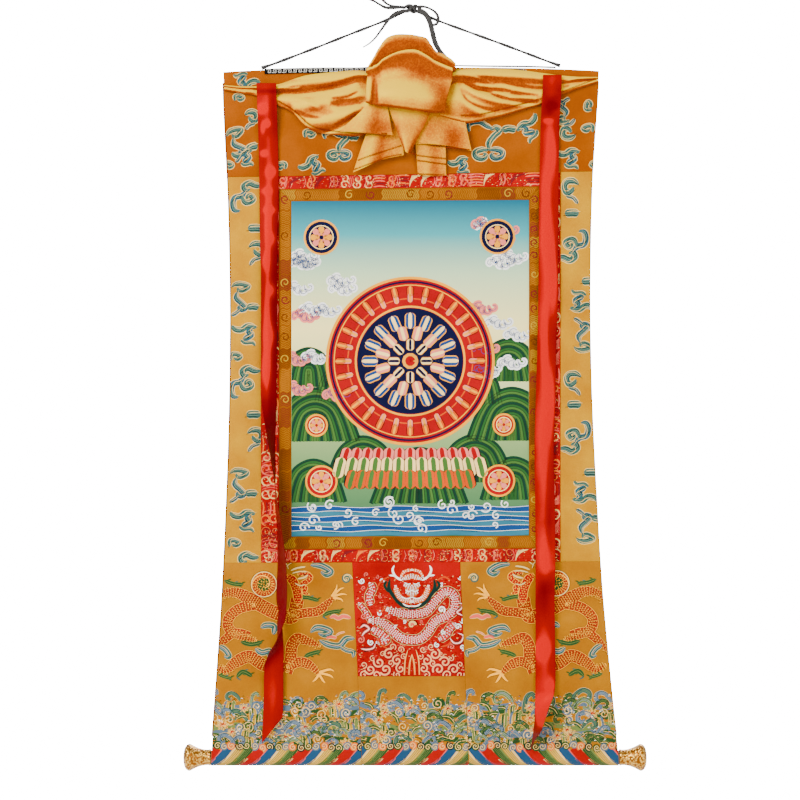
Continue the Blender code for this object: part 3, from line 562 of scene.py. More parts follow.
lights = {
    "key": {"at": (-1.5, -1.9, 0.9), "size": 1.3, "power": 185.0},
    "fill": {"at": (1.7, -2.2, 0.1), "size": 1.8, "power": 52.0},
    "back": {"at": (0.6, 2.2, 0.8), "size": 1.6, "power": 90.0},
}
studio = {"floorZ": -1.04, "floorSize": 9.0, "seen": 17.0, "ambient": 1.25, "pale": 0.9}


def makeStudio():
    for name, light in lights.items():
        data = bpy.data.lights.new(name, "AREA")
        data.size = light["size"]
        data.energy = light["power"]
        lamp = bpy.data.objects.new(name, data)
        lamp.location = light["at"]
        aim = Vector((0.0, 0.0, -0.45)) - lamp.location
        lamp.rotation_euler = aim.to_track_quat("-Z", "Y").to_euler()
        bpy.context.scene.collection.objects.link(lamp)
    world = bpy.data.worlds.new("studio")
    bpy.context.scene.world = world
    world.use_nodes = True
    tree = world.node_tree
    background = tree.nodes["Background"]
    background.inputs["Color"].default_value = (1.0, 1.0, 1.0, 1.0)
    path = addNode(tree, "ShaderNodeLightPath")
    strength = addNode(tree, "ShaderNodeMix")
    strength.inputs[2].default_value = studio["ambient"]
    strength.inputs[3].default_value = studio["seen"]
    tree.links.new(path.outputs["Is Camera Ray"], strength.inputs[0])
    tree.links.new(strength.outputs[0], background.inputs["Strength"])
    shape = bmesh.new()
    bmesh.ops.create_grid(shape, x_segments=1, y_segments=1, size=studio["floorSize"])
    mesh = bpy.data.meshes.new("floor")
    shape.to_mesh(mesh)
    shape.free()
    floor = bpy.data.objects.new("floor", mesh)
    floor.location = (0.0, 0.0, studio["floorZ"])
    material, tree, shader = startMaterial("floor")
    shader.inputs["Base Color"].default_value = (studio["pale"],) * 3 + (1.0,)
    shader.inputs["Roughness"].default_value = 0.9
    shader.inputs["Specular IOR Level"].default_value = 0.0
    path = addNode(tree, "ShaderNodeLightPath")
    glow = addNode(tree, "ShaderNodeMath", operation="MULTIPLY")
    glow.inputs[1].default_value = studio["seen"]
    tree.links.new(path.outputs["Is Camera Ray"], glow.inputs[0])
    tree.links.new(glow.outputs[0], shader.inputs["Emission Strength"])
    shader.inputs["Emission Color"].default_value = (1.0, 1.0, 1.0, 1.0)
    mesh.materials.append(material)
    bpy.context.scene.collection.objects.link(floor)


makeCamera()
makeStudio()
print("camera, lights and floor made")


# The woven band: x, y, z, share of the full width
hangingBand = {
    "rolled": 3.6,
    "width": 6.6,
    "thickness": 1.2,
    "string_left": [
        (-187, 1.2, -73.6, 1.35),
        (-172, 0.8, -68.6, 1.1),
        (-122, 0.6, -49.6, 1),
        (-76, 0.6, -31.4, 1),
        (-30, 0.6, -13.4, 1),
        (-7.9, 0.6, -3.4, 1),
    ],
    "string_right": [
        (186.6, 1.4, -70.8, 1.2),
        (172, 1.2, -65.6, 1),
        (120, 0.8, -46.0, 1),
        (73.8, 0.6, -29.2, 1),
        (33.8, 0.6, -14.4, 1),
        (7.9, 0.7, -3.4, 1),
    ],
    "loop_left": [
        (-7.9, 0.6, 1.9, 1),
        (-16, 0.2, 2.8, 1),
        (-24, -0.4, 4.0, 1),
        (-30, -0.8, 6.4, 1),
        (-35.5, -1.0, 11.6, 1),
        (-39.5, -1.2, 18.6, 1),
        (-45.5, -1.4, 25.0, 1),
        (-53.5, -1.6, 25.6, 1),
        (-57.8, -1.8, 19.6, 1),
        (-53.5, -2.2, 13.4, 1),
        (-46.0, -2.8, 9.4, 1),
        (-39.0, -3.4, 5.0, 1),
        (-31.5, -3.8, 1.2, 1),
        (-20, -4.0, 0.8, 1),
        (-7.9, -4.0, 1.4, 1),
    ],
    "loop_right": [
        (7.9, -4.2, 1.8, 1),
        (16, -4.0, 2.2, 1),
        (24, -3.8, -0.4, 1),
        (31, -3.4, -5.4, 1),
        (34.0, -3.6, -12.0, 1),
        (32.2, -3.6, -18.8, 1),
        (26.5, -3.7, -20.4, 1),
        (21.6, -3.6, -14.8, 1),
        (16, -3.7, -7.6, 1),
        (7.9, -3.7, -2.6, 1),
    ],
    "tail_left": [
        (-7.9, -4.6, -3.2, 0.75),
        (-18.8, -5.0, -6.0, 0.7),
        (-25, -5.2, -10.8, 0.62),
        (-31.2, -5.4, -18.4, 0.55),
        (-38, -5.4, -28.0, 0.45),
        (-45, -5.4, -37.4, 0.38),
        (-52.5, -5.2, -44.2, 0.3),
        (-60, -5.0, -48.6, 0.24),
    ],
    "tail_right": [
        (7.9, -7.1, -1.4, 0.92),
        (17.5, -7.1, -7.0, 1),
        (23.4, -7.0, -17.5, 1),
        (26.4, -6.6, -28.8, 1),
        (30, -5.4, -42.5, 1),
        (35, -4.6, -51.9, 0.9),
        (41.2, -4.4, -59.2, 0.8),
        (49, -4.6, -66.0, 0.6),
    ],
    "tape": [
        (-183, -1.1, -78.2, 0),
        (-140, -1.1, -77.0, 0),
        (-100, -1.1, -76.4, 0),
        (-62, -1.1, -76.2, 0),
        (-34, -2.6, -73.6, 22),
        (-6, -3.4, -70.4, 48),
        (24, -2.0, -69.6, 72),
        (56, 0.6, -70.6, 86),
        (84, 1.6, -71.0, 90),
        (117, 1.6, -71.4, 90),
        (150, 1.6, -71.8, 90),
        (181, 1.6, -72.8, 90),
    ],
    "turnEvery": 34.0,
    "knot": [
        (-8.2, -0.4, 1.6),
        (-5.4, -3.0, 2.9),
        (-1.8, -6.2, 3.4),
        (3.0, -7.0, 0.6),
        (5.6, -5.2, -2.8),
        (3.6, -0.8, -4.0),
        (-0.6, 1.4, -1.6),
        (-3.4, 0.8, 2.4),
        (-1.2, -2.0, 3.6),
        (0.6, -6.6, 2.6),
        (-1.0, -7.6, -1.4),
        (-3.8, -5.6, -3.8),
        (-7.2, -3.4, -3.2),
        (-3.4, -1.0, -1.4),
        (2.0, -1.8, 1.8),
        (5.4, -4.2, 3.2),
        (8.2, -3.8, 1.2),
    ],
    "knotBack": [(-7.9, 0.6, -2.8), (-4.0, 0.0, -1.6), (0.0, -1.0, 0.4), (4.0, -0.4, -1.6), (7.9, 0.6, -3.0)],
}


def bandRun(name, wide, thin, steps, around=12, lay="taut"):
    line = smoothLine(hangingBand[name], steps)
    spots, share = line[:, :3], line[:, 3]
    ways = np.gradient(spots, axis=0)
    ways /= np.linalg.norm(ways, axis=1)[:, None]
    side = np.cross(ways, (0.0, 1.0, 0.0))
    side /= np.linalg.norm(side, axis=1)[:, None]
    front = np.cross(side, ways)
    length = np.concatenate([[0], np.cumsum(np.linalg.norm(np.diff(spots, axis=0), axis=1))])
    turn = length / hangingBand["turnEvery"] * math.pi if thin < wide and lay != "hanging" else 0 * length
    angle = np.linspace(0, 2 * math.pi, around + 1)
    flatX, flatY = np.cos(angle) * wide / 2, np.sin(angle) * thin / 2
    ring = flatX[None] * np.cos(turn)[:, None] - flatY[None] * np.sin(turn)[:, None]
    rise = flatX[None] * np.sin(turn)[:, None] + flatY[None] * np.cos(turn)[:, None]
    tube = spots[:, None] + (ring[..., None] * side[:, None] + rise[..., None] * front[:, None]) * share[:, None, None]
    mesh = gridMesh(name + "_band", tube)
    shape = bmesh.new()
    shape.from_mesh(mesh)
    bmesh.ops.remove_doubles(shape, verts=shape.verts, dist=1e-6)
    bmesh.ops.holes_fill(shape, edges=shape.edges, sides=around)
    bmesh.ops.recalc_face_normals(shape, faces=shape.faces)
    shape.to_mesh(mesh)
    shape.free()
    piece = addPiece(name + "_band", mesh, [finishes["band"]], [name])
    return piece


def makeKnot():
    # The knot's crossing turns, seen through one another where they are drawn tight
    parts = []
    for name, thick in (("knot", 4.1), ("knotBack", 4.4)):
        points = np.array(hangingBand[name], float)
        table = smoothLine(points, 90)
        curve = bpy.data.curves.new(name, "CURVE")
        curve.dimensions = "3D"
        curve.bevel_depth = thick / 2
        curve.bevel_resolution = 3
        curve.use_fill_caps = True
        spline = curve.splines.new("POLY")
        spline.points.add(len(table) - 1)
        spline.points.foreach_set("co", np.column_stack([table, np.ones(len(table))]).ravel())
        holder = bpy.data.objects.new(name, curve)
        bpy.context.scene.collection.objects.link(holder)
        graph = bpy.context.evaluated_depsgraph_get()
        mesh = bpy.data.meshes.new_from_object(holder.evaluated_get(graph))
        bpy.data.objects.remove(holder)
        spots = readSpots(mesh)
        writeUv(mesh, spots[:, [0, 2]] * mm)
        writeSpots(mesh, spots * mm)
        parts.append(mesh)
    return addPiece("knot_band", joinMeshes("knot_band", parts), [finishes["band"]], ["knot"])


def makeBand():
    rolled = hangingBand["rolled"]
    knot = makeKnot()
    bandRun("string_left", rolled * 1.12, rolled * 0.8, 60)
    bandRun("string_right", rolled * 1.12, rolled * 0.8, 60)
    bandRun("loop_left", rolled * 1.12, rolled * 0.8, 70, lay="loose")
    bandRun("loop_right", rolled * 1.12, rolled * 0.8, 50, lay="loose")
    bandRun("tail_left", hangingBand["width"], hangingBand["thickness"], 40, lay="hanging")
    bandRun("tail_right", hangingBand["width"], hangingBand["thickness"], 40, lay="hanging")
    line = smoothLine(hangingBand["tape"], 120)
    tilt = np.radians(line[:, 3])[:, None]
    offset = hangingBand["width"] * np.linspace(-0.5, 0.5, 5)[None]
    spots = np.stack(
        [
            line[:, 0:1] + 0 * offset,
            line[:, 1:2] + offset * np.sin(tilt),
            line[:, 2:3] + offset * np.cos(tilt),
        ],
        axis=2,
    )
    tape = addPiece("tape_band", gridMesh("tape_band", spots.transpose(1, 0, 2)), [finishes["tape"]], ["top_tape"])
    thicken(tape, hangingBand["thickness"], 0.0)
    return tape


tape = makeBand()
print("hanging band made")


# Flat cloths of the mount
def sheetOnMount(name, columns, rows, finish, nodes, borders=(1, 1, 1, 1), height=0.0):
    # columns is a function of z and a share; rows is the list of heights
    z = rows[:, None] + 0 * columns(rows[0])[None]
    x = np.array([columns(height) for height in rows])
    left, right, bottom, top = borders
    reach, dip = mount["seamReach"], mount["seamDip"]
    sunk = (
        left * np.exp(-(((x - x[:, :1]) / reach) ** 2))
        + right * np.exp(-(((x[:, -1:] - x) / reach) ** 2))
        + bottom * np.exp(-(((z - z[:1]) / reach) ** 2))
        + top * np.exp(-(((z[-1:] - z) / reach) ** 2))
    )
    spots = onMount(x, z, height - dip * np.minimum(sunk, 1.0))
    piece = addPiece(name, gridMesh(name, spots), [finishes[finish]], nodes)
    return thicken(piece, mount["cloth"]), spots


def flatSize(spots):
    across = np.linalg.norm(np.diff(spots, axis=1), axis=2).sum(axis=1).mean()
    down = np.linalg.norm(np.diff(spots, axis=0), axis=2).sum(axis=0).mean()
    return across * mm, down * mm


def declareSheet(piece, spots, held="hung", **more):
    flatSize(spots)


def between(left, right, cell):
    steps = edgedSteps(0.0, 1000.0, cell) / 1000.0

    def columns(z):
        start, end = left(z), right(z)
        return start + (end - start) * edgeShare(steps, end - start)

    return columns


def edgeShare(steps, width):
    return edgedSteps(0.0, width, width / (len(steps) - 8)) / width if width > 12 else steps


def seamAt(seam, side):
    top, bottom = mount["redFrame"]["bottom"], mount["rollerZ"] - mount["sleeveRadius"]

    def at(z):
        share = (top - z) / (top - bottom)
        return seam[0] + (seam[1] - seam[0]) * share + side * mount["seamGap"] / 2

    return at


def panelColumns(left, right, count):
    def columns(z):
        return edgedSteps(left(z), right(z), (right(z) - left(z)) / count)

    return columns


def makeFlatPanels():
    gap = mount["seamGap"] / 2
    canvas, red = mount["canvas"], mount["redFrame"]
    made = {}
    columns = panelColumns(lambda z: canvas["left"] + gap, lambda z: canvas["right"] - gap, 60)
    rows = edgedSteps(canvas["bottom"] + gap, canvas["top"] - gap, 5.0)
    piece, spots = sheetOnMount("canvas_cloth", columns, rows, "canvas", ["painting_canvas"])
    declareSheet(piece, spots, held="stretched")
    rows = edgedSteps(red["bottom"] + gap, red["top"] - gap, 5.0)
    sides = {
        "left": panelColumns(leftEdge, lambda z: red["left"] - gap, 9),
        "right": panelColumns(lambda z: red["right"] + gap, rightEdge, 9),
    }
    for side, columns in sides.items():
        name = "side_panel_" + side
        piece, spots = sheetOnMount(name + "_cloth", columns, rows, "goldSatin", [name])
        declareSheet(piece, spots)
    rows = edgedSteps(mount["doorBottom"] + gap, red["bottom"] - gap, 5.0)
    columns = panelColumns(seamAt(mount["seamLeft"], 1), seamAt(mount["seamRight"], -1), 26)
    piece, spots = sheetOnMount("door_cloth", columns, rows, "redStrip", ["door_panel"])
    declareSheet(piece, spots)
    return made


def framePoint(rectangle, grow):
    return {
        "left": rectangle["left"] - grow,
        "right": rectangle["right"] + grow,
        "bottom": rectangle["bottom"] - grow,
        "top": rectangle["top"] + grow,
    }


def makeFrameStrips(kind, inner, outer, finish):
    gap, mitre = mount["seamGap"] / 2, mount["seamGap"] * 0.75
    inside, outside = framePoint(inner, gap), framePoint(outer, -gap)
    for side in ("top", "bottom", "left", "right"):
        level = side in ("top", "bottom")
        near, far = (inside, outside) if side in ("top", "right") else (outside, inside)
        width = abs(far[side] - near[side])
        shares = edgedSteps(0.0, width, 3.0, (0.0, 0.5, 1.2, 2.2)) / width
        starts, ends = ("left", "right") if level else ("bottom", "top")
        low = near[starts] + (far[starts] - near[starts]) * shares + mitre
        high = near[ends] + (far[ends] - near[ends]) * shares - mitre
        along = np.array([edgedSteps(a, b, (b - a) / round((high[0] - low[0]) / 5.0)) for a, b in zip(low, high)])
        offset = (near[side] + (far[side] - near[side]) * shares)[:, None] + 0 * along
        x, z = (along, offset) if level else (offset.T, along.T)
        reach, dip = mount["seamReach"], mount["seamDip"]
        inward, end = (shares * width)[:, None] + 0 * along, np.minimum(along - low[:, None], high[:, None] - along)
        sunk = np.exp(-((inward / reach) ** 2)) + np.exp(-(((width - inward) / reach) ** 2)) + np.exp(-((end / reach) ** 2))
        sunk = sunk if level else sunk.T
        spots = onMount(x, z, -dip * np.minimum(sunk, 1.0))
        name = f"{kind}_strip_{side}"
        piece = addPiece(name + "_cloth", gridMesh(name + "_cloth", spots), [finishes[finish]], [name])
        thicken(piece, mount["cloth"])
        declareSheet(piece, spots)


def makeTopPanel():
    radius, hem = mount["hemRadius"], mount["hemDepth"]
    turn = np.linspace(math.pi, 0, 9)
    front = edgedSteps(mount["redFrame"]["top"] + mount["seamGap"] / 2, mount["top"] - radius, 5.0)
    z = np.concatenate([front[:-1], mount["top"] - radius * (1 - np.sin(turn)), [mount["top"] - radius - hem]])
    depth = np.concatenate([0 * front[:-1], radius * (1 + np.cos(turn)), [2 * radius]])
    x = np.array([edgedSteps(leftEdge(level), rightEdge(level), 5.0) for level in z[:1]])[0]
    shares = (x - x[0]) / (x[-1] - x[0])
    left, right = leftEdge(z)[:, None], rightEdge(z)[:, None]
    x = left + (right - left) * shares[None]
    z = z[:, None] + 0 * x
    level = levelAt(x, z)
    onFront = (np.arange(len(z)) < len(front))[:, None]
    spots = np.stack([x, depth[:, None] + drapeDepth(x, level) * onFront, level], axis=2)
    # The top panel's cloth takes the gold satin with painted shade
    piece = addPiece("top_panel_cloth", gridMesh("top_panel_cloth", spots), [finishes["goldSatinShaded"]], ["top_panel"])
    thicken(piece, mount["cloth"])
    declareSheet(piece, spots, with_pieces=[tape])


def sleevePath(turns=28):
    radius = mount["sleeveRadius"]
    target = Vector((mount["liningDepth"] + 1.0, mount["sleeveTop"]))
    centre = Vector((radius, mount["rollerZ"]))
    offset = target - centre
    leave = math.atan2(offset.x, offset.y) + math.acos(radius / offset.length)
    angle = leave + (1.5 * math.pi - leave) * np.linspace(0, 1, turns)
    depth = np.concatenate([[target.x], centre.x + radius * np.sin(angle)])
    return depth, np.concatenate([[target.y], centre.y + radius * np.cos(angle)])


def makeLowerPanels():
    top, gap = mount["redFrame"]["bottom"], mount["seamGap"] / 2
    panels = {
        "lower_panel_left": (leftEdge, seamAt(mount["seamLeft"], -1), top, 34),
        "lower_panel_centre": (seamAt(mount["seamLeft"], 1), seamAt(mount["seamRight"], -1), mount["doorBottom"], 28),
        "lower_panel_right": (seamAt(mount["seamRight"], 1), rightEdge, top, 34),
    }
    sleeveDepth, sleeveZ = sleevePath()
    for name, (left, right, topZ, count) in panels.items():
        front = np.linspace(mount["rollerZ"], topZ - gap - 4.0, round((topZ - mount["rollerZ"]) / 5.0))[1:]
        front = np.concatenate([front, topZ - gap - np.array([2.2, 1.2, 0.5, 0.0])])
        z = np.concatenate([sleeveZ, front])
        x = np.array([panelColumns(left, right, count)(level) for level in z])
        height = z[:, None] + 0 * x
        blend = np.clip((height - mount["rollerZ"]) / 60.0, 0, 1)
        level = height + (levelAt(x, height) - height) * blend
        onFront = (np.arange(len(z)) >= len(sleeveZ))[:, None]
        depth = np.concatenate([sleeveDepth, 0 * front])[:, None]
        reach, dip = mount["seamReach"], mount["seamDip"]
        sunk = np.exp(-(((x - x[:, :1]) / reach) ** 2)) + np.exp(-(((x[:, -1:] - x) / reach) ** 2))
        sunk = sunk + np.exp(-(((topZ - height) / reach) ** 2))
        spots = np.stack([x, depth + (drapeDepth(x, level) + dip * sunk) * onFront, level + 0 * x], axis=2)
        spots[:, :, 2] = np.where(onFront, level, height)
        piece = addPiece(name + "_cloth", gridMesh(name + "_cloth", spots), [finishes["goldLower"]], [name])
        thicken(piece, mount["cloth"])
        declareSheet(piece, spots)


lining = {"proudLeft": 1.6, "proudRight": 0.9, "endGap": 1.0}


def makeLining():
    top = mount["top"] - mount["hemRadius"] - mount["hemDepth"] - lining["endGap"]
    rows = np.linspace(mount["sleeveTop"] + lining["endGap"], top, 160)
    shares = np.linspace(0, 1, 90)
    left, right = leftEdge(rows) - lining["proudLeft"], rightEdge(rows) + lining["proudRight"]
    x = left[:, None] + (right - left)[:, None] * shares[None]
    spots = onMount(x, rows[:, None] + 0 * x, -mount["liningDepth"])
    piece = addPiece("lining_cloth", gridMesh("lining_cloth", spots), [finishes["lining"]], ["lining"])
    thicken(piece, mount["cloth"])
    declareSheet(piece, spots)


makeFlatPanels()
makeFrameStrips("gold", mount["canvas"], mount["goldFrame"], "goldStrip")
makeFrameStrips("red", mount["goldFrame"], mount["redFrame"], "redStrip")
makeTopPanel()
makeLowerPanels()
makeLining()
print("cloths of the mount made")


# Smooth soft troughs and ridges placed on a cloth: points (x, z), height, half width
def creaseDepth(x, z, creases):
    depth = np.zeros(np.shape(x))
    for points, height, spread in creases:
        line = smoothLine(points, 24)
        nearest = np.full(np.shape(x), 1e9)
        place = np.zeros(np.shape(x))
        for index, (start, end) in enumerate(zip(line[:-1], line[1:])):
            along = end - start
            share = ((x - start[0]) * along[0] + (z - start[1]) * along[1]) / (along @ along)
            share = np.clip(share, 0.0, 1.0)
            distance = np.hypot(x - start[0] - along[0] * share, z - start[1] - along[1] * share)
            place = np.where(distance < nearest, (index + share) / (len(line) - 1), place)
            nearest = np.minimum(nearest, distance)
        fade = np.clip(4.0 * np.minimum(place, 1.0 - place), 0.0, 1.0)
        depth += height * fade * np.exp(-((nearest / spread) ** 2))
    return depth


veil = {
    # darker: ovals of painted shade on the silk, under the hood, below the lip, in the pouch and behind the flaps: x,
    # z, half width, half height, amount, and for the hood a depth only behind which it darkens
    "darker": [
        (0, -46, 66, 36, 1.15, -16.5),
        (2, -66, 40, 12, 0.55),
        (-20, -62, 30, 10, 0.4),
        (12, -82, 22, 12, 0.7),
        (38, -110, 14, 24, 0.6),
        (-44, -106, 12, 30, 0.5),
        (-30, -150, 26, 10, 0.35),
        (24, -150, 10, 20, 0.4),
        (56, -160, 12, 14, 0.35),
    ],
    "thickness": 0.5,
    "swagLeft": [
        (-233.5, -95.0, -98.0, -102.0, 2.6, -1.4),
        (-214, -96.5, -100.5, -105.5, 3.2, -1.4),
        (-193.8, -96.5, -101.5, -109.0, 4.0, -1.4),
        (-167.5, -94.5, -105.5, -121.0, 5.5, -1.8),
        (-150, -89.0, -104.0, -129.0, 7.0, -2.6),
        (-133.8, -84.0, -102.0, -146.0, 8.0, -3.2),
        (-120, -81.5, -100.5, -154.0, 9.0, -3.2),
        (-92.5, -78.8, -98.0, -158.5, 11.0, -3.2),
        (-63.8, -77.2, -90.0, -159.5, 12.0, -3.4),
        (-38, -82.0, -92.0, -150.0, 9.0, -4.0),
    ],
    "swagRight": [
        (36, -84.0, -95.0, -136.0, 9.0, -4.0),
        (55, -76.0, -92.0, -141.0, 12.0, -3.4),
        (68.8, -74.6, -92.0, -144.0, 12.0, -2.6),
        (92, -74.4, -92.0, -140.0, 11.0, -2.0),
        (117.5, -75.0, -93.0, -133.5, 9.0, -1.6),
        (145, -77.5, -94.0, -125.0, 7.5, -1.4),
        (162.5, -79.8, -95.0, -119.5, 6.0, -1.4),
        (188, -83.2, -94.0, -108.0, 4.6, -1.4),
        (211, -84.8, -91.0, -99.0, 3.6, -1.4),
        (233.5, -85.0, -88.0, -92.0, 2.8, -1.4),
    ],
    "hood": [
        (-56, -77.0, -88.0),
        (-49, -65.5, -94.0),
        (-41.5, -52.0, -98.0),
        (-35, -42.5, -98.0),
        (-28.8, -36.5, -98.0),
        (-18.8, -33.4, -98.0),
        (-5, -33.2, -98.0),
        (7.5, -34.6, -98.0),
        (19.4, -38.2, -98.0),
        (25, -46.0, -98.0),
        (32.5, -55.2, -98.0),
        (40, -58.0, -96.0),
        (50, -64.0, -88.0),
        (55.5, -69.0, -80.0),
    ],
    "hoodBack": -9.0,
    "hoodValley": -79.0,
    "pouch": [
        (-54.5, -56.5, -77.0, -119.5, 0.40),
        (-50.5, -52.0, -75.5, -121.5, 0.62),
        (-46.0, -45.0, -73.5, -122.5, 0.34),
        (-40.5, -39.0, -70.5, -124.0, 0.66),
        (-33.8, -31.0, -64.5, -125.0, 0.85),
        (-15.0, -14.0, -56.0, -127.5, 1.0),
        (5.0, 4.0, -54.0, -130.0, 1.0),
        (19.4, 15.0, -60.5, -131.5, 0.95),
        (28.8, 24.0, -67.0, -132.5, 0.85),
        (40.0, 33.0, -72.0, -132.5, 0.66),
        (51.5, 42.0, -76.5, -131.0, 0.42),
    ],
    "lipDepth": -19.0,
    "pouchDepth": 15.5,
    "flaps": {
        "triangle": [
            (-50, -116, -13, -89, -155.0, -16.5),
            (-44, -116, -14, -66, -156.5, -18.0),
            (-38, -116, -14, -44, -158.0, -15.5),
            (-30, -116, -13, -23, -159.5, -17.0),
        ],
        "left": [
            (-45, -120, -8, -72.5, -205.0, -5.5),
            (-36, -120, -8.5, -56, -198.0, -8.5),
            (-26, -120, -8.5, -37, -189.5, -6.0),
            (-10, -120, -8, -9, -183.5, -8.0),
        ],
        "centre": [
            (-30, -118, -13, -9.5, -176.0, -12.5),
            (-12, -118, -14, -7.0, -180.0, -16.5),
            (10, -118, -14, -3.5, -182.0, -16.0),
            (30, -118, -13, -0.5, -181.0, -12.5),
        ],
        "right": [
            (8, -120, -8, 6, -169.5, -8.5),
            (26, -120, -8.5, 28, -170.5, -10.5),
            (46, -122, -8.5, 52, -173.0, -8.0),
            (64, -124, -8, 75.5, -178.5, -9.5),
        ],
        "tail": [
            (2, -122, -7, 8.5, -207.5, -2.6),
            (16, -122, -7, 20, -209.0, -4.6),
            (30, -122, -7, 32, -209.0, -2.6),
            (42, -122, -7, 44, -208.0, -4.0),
        ],
    },
    "creases": [
        ([(-207.5, -105), (-167.5, -105.6), (-132.5, -103.8), (-95, -97.5), (-61.2, -85)], -3.4, 3.2),
        ([(-186, -97.5), (-157.5, -91.2), (-101, -87.5), (-57.5, -80)], -1.4, 2.4),
        ([(-53.8, -113.8), (-70, -117.5), (-88.8, -118.8), (-101, -116)], -5.0, 6.0),
        ([(-63.8, -95), (-82.5, -107.5), (-120, -118.8), (-151, -123.8)], 3.0, 7.0),
        ([(-56.2, -121.2), (-70, -135), (-86.2, -146.2), (-107.5, -153.8), (-128.8, -152.5)], -3.6, 3.4),
        ([(-61, -123.8), (-82.5, -133.8), (-107.5, -141), (-132.5, -141)], 3.0, 6.0),
        ([(61, -87), (81, -99.8), (114, -103), (136, -107), (161, -109)], -3.6, 3.2),
        ([(110, -90), (132.5, -96), (161, -100), (200, -97)], -2.2, 2.8),
        ([(88, -98), (110, -110.8), (130, -115.6), (161, -117)], -2.6, 3.0),
        ([(62, -95), (85, -108), (112, -117), (140, -117)], 2.4, 4.0),
        ([(187, -99.8), (210, -94), (231, -87.5)], -1.6, 2.2),
        ([(-62, -90), (-76, -94), (-96, -99), (-120, -101)], -1.2, 2.0),
        ([(-64, -104), (-80, -111), (-104, -113)], -1.4, 2.2),
        ([(-60, -129), (-74, -138), (-94, -147)], -1.3, 2.0),
        ([(-150, -112), (-132, -116), (-112, -126)], 1.0, 3.0),
        ([(-146, -128), (-128, -136), (-108, -139)], -1.2, 2.4),
        ([(-166, -98), (-150, -101), (-136, -99)], 0.8, 2.0),
        ([(60, -100), (70, -116), (90, -126), (112, -128)], -1.4, 2.4),
        ([(66, -84), (84, -88), (104, -93)], 1.2, 2.2),
        ([(120, -112), (140, -111), (158, -113)], 1.0, 2.2),
        ([(96, -104), (112, -106), (130, -104)], 1.2, 2.0),
        ([(190, -92), (206, -88), (226, -84)], 0.9, 1.8),
        ([(56, -92), (64, -112), (84, -128), (104, -134)], 1.6, 6.0),
    ],
}


def between(start, end, share):
    return start + (end - start) * share


def swagSections(table):
    sections = []
    for x, top, crease, bottom, bulge, back in table:
        sections.append([
            (x, back, top),
            (x, back - 0.75 * bulge, between(top, crease, 0.45)),
            (x, back - 0.35 * bulge, crease),
            (x, back - bulge, between(crease, bottom, 0.5)),
            (x, back - 0.72 * bulge, between(crease, bottom, 0.93)),
            (x, back - 0.3 * bulge, bottom),
            (x, back + 0.3, bottom + 0.1 * (top - bottom)),
        ])
    return sections


def hoodSections():
    back = veil["hoodBack"]
    sections = []
    for x, crest, foot in veil["hood"]:
        valley = min(veil["hoodValley"], crest - 5.0)
        sections.append([
            (x, back + 0.6, foot),
            (x, back, between(foot, crest, 0.6)),
            (x, back - 1.0, crest - 2.4),
            (x, back - 3.0, crest),
            (x, back - 5.2, crest - 3.0),
            (x, back - 4.6, between(valley, crest, 0.4)),
            (x, back - 3.6, valley),
        ])
    return sections


def pouchSections():
    lipY, depth = veil["lipDepth"], veil["pouchDepth"]
    sections = []
    for xLip, xFoot, lip, foot, bulge in veil["pouch"]:
        belly = lipY - depth * bulge
        sections.append([
            (xLip, lipY + 3.6, lip - 14.0 * bulge - 5.0),
            (xLip, lipY + 2.0, lip - 4.0),
            (xLip, lipY - 2.0, lip),
            (xLip, lipY - 3.0, lip - 2.4),
            (xLip, lipY + 0.5, between(lip, foot, 0.2)),
            (between(xLip, xFoot, 0.3), between(lipY, belly, 0.3), between(lip, foot, 0.42)),
            (between(xLip, xFoot, 0.8), belly, between(lip, foot, 0.74)),
            (xFoot, between(lipY, belly, 0.8), foot + 2.2),
            (xFoot, lipY - 2.0, foot),
            (xFoot, lipY + 4.0, foot + 6.0),
            (xFoot, lipY + 6.0, foot + 15.0),
        ])
    return sections


def flapSections(table):
    sections = []
    for xTop, zTop, yTop, xHem, zHem, yHem in table:
        sections.append([
            (xTop, yTop, zTop),
            (between(xTop, xHem, 0.3), between(yTop, yHem, 0.3) - 1.0, between(zTop, zHem, 0.33)),
            (between(xTop, xHem, 0.65), between(yTop, yHem, 0.65) - 0.8, between(zTop, zHem, 0.66)),
            (xHem, yHem, zHem),
        ])
    return sections


def silkSurface(name, sections, across, down, creased=True):
    spots = clothSurface(sections, across, down)[::-1].copy()
    if creased:
        spots[..., 1] -= creaseDepth(spots[..., 0], spots[..., 2], veil["creases"])
    return gridMesh(name, spots)


def writeShade(mesh, toLight, hollow, darker=()):
    # The silk's tone: how far each point turns to the light, less in hollows and under the hood
    normals = np.empty(len(mesh.vertices) * 3)
    mesh.vertices.foreach_get("normal", normals)
    normals = normals.reshape(-1, 3)
    facing = normals @ (np.array(toLight) / np.linalg.norm(toLight))
    spots = readSpots(mesh)
    shape = bmesh.new()
    shape.from_mesh(mesh)
    for _ in range(24):
        bmesh.ops.smooth_vert(shape, verts=shape.verts, factor=0.5, use_axis_x=True, use_axis_y=True, use_axis_z=True)
    smoothed = np.array([vertex.co for vertex in shape.verts])
    shape.free()
    depth = np.clip(((smoothed - spots) * normals).sum(axis=1) / mm, -0.5, 0.5)
    value = (facing - 0.5) / 0.5 - hollow * depth
    # Listed ovals take the tone down as painted shade, or up as painted highlight where the amount is below zero; a
    # sixth value limits one to points behind that depth
    for x, z, wide, tall, amount, *behind in darker:
        away = ((spots[:, 0] / mm - x) / wide) ** 2 + ((spots[:, 2] / mm - z) / tall) ** 2
        weight = amount * np.exp(-away)
        value -= weight * (spots[:, 1] / mm > behind[0]) if behind else weight
    layer = mesh.attributes.new("shade", "FLOAT", "POINT")
    layer.data.foreach_set("value", np.clip(value, 0.0, 1.0).astype(np.float32))


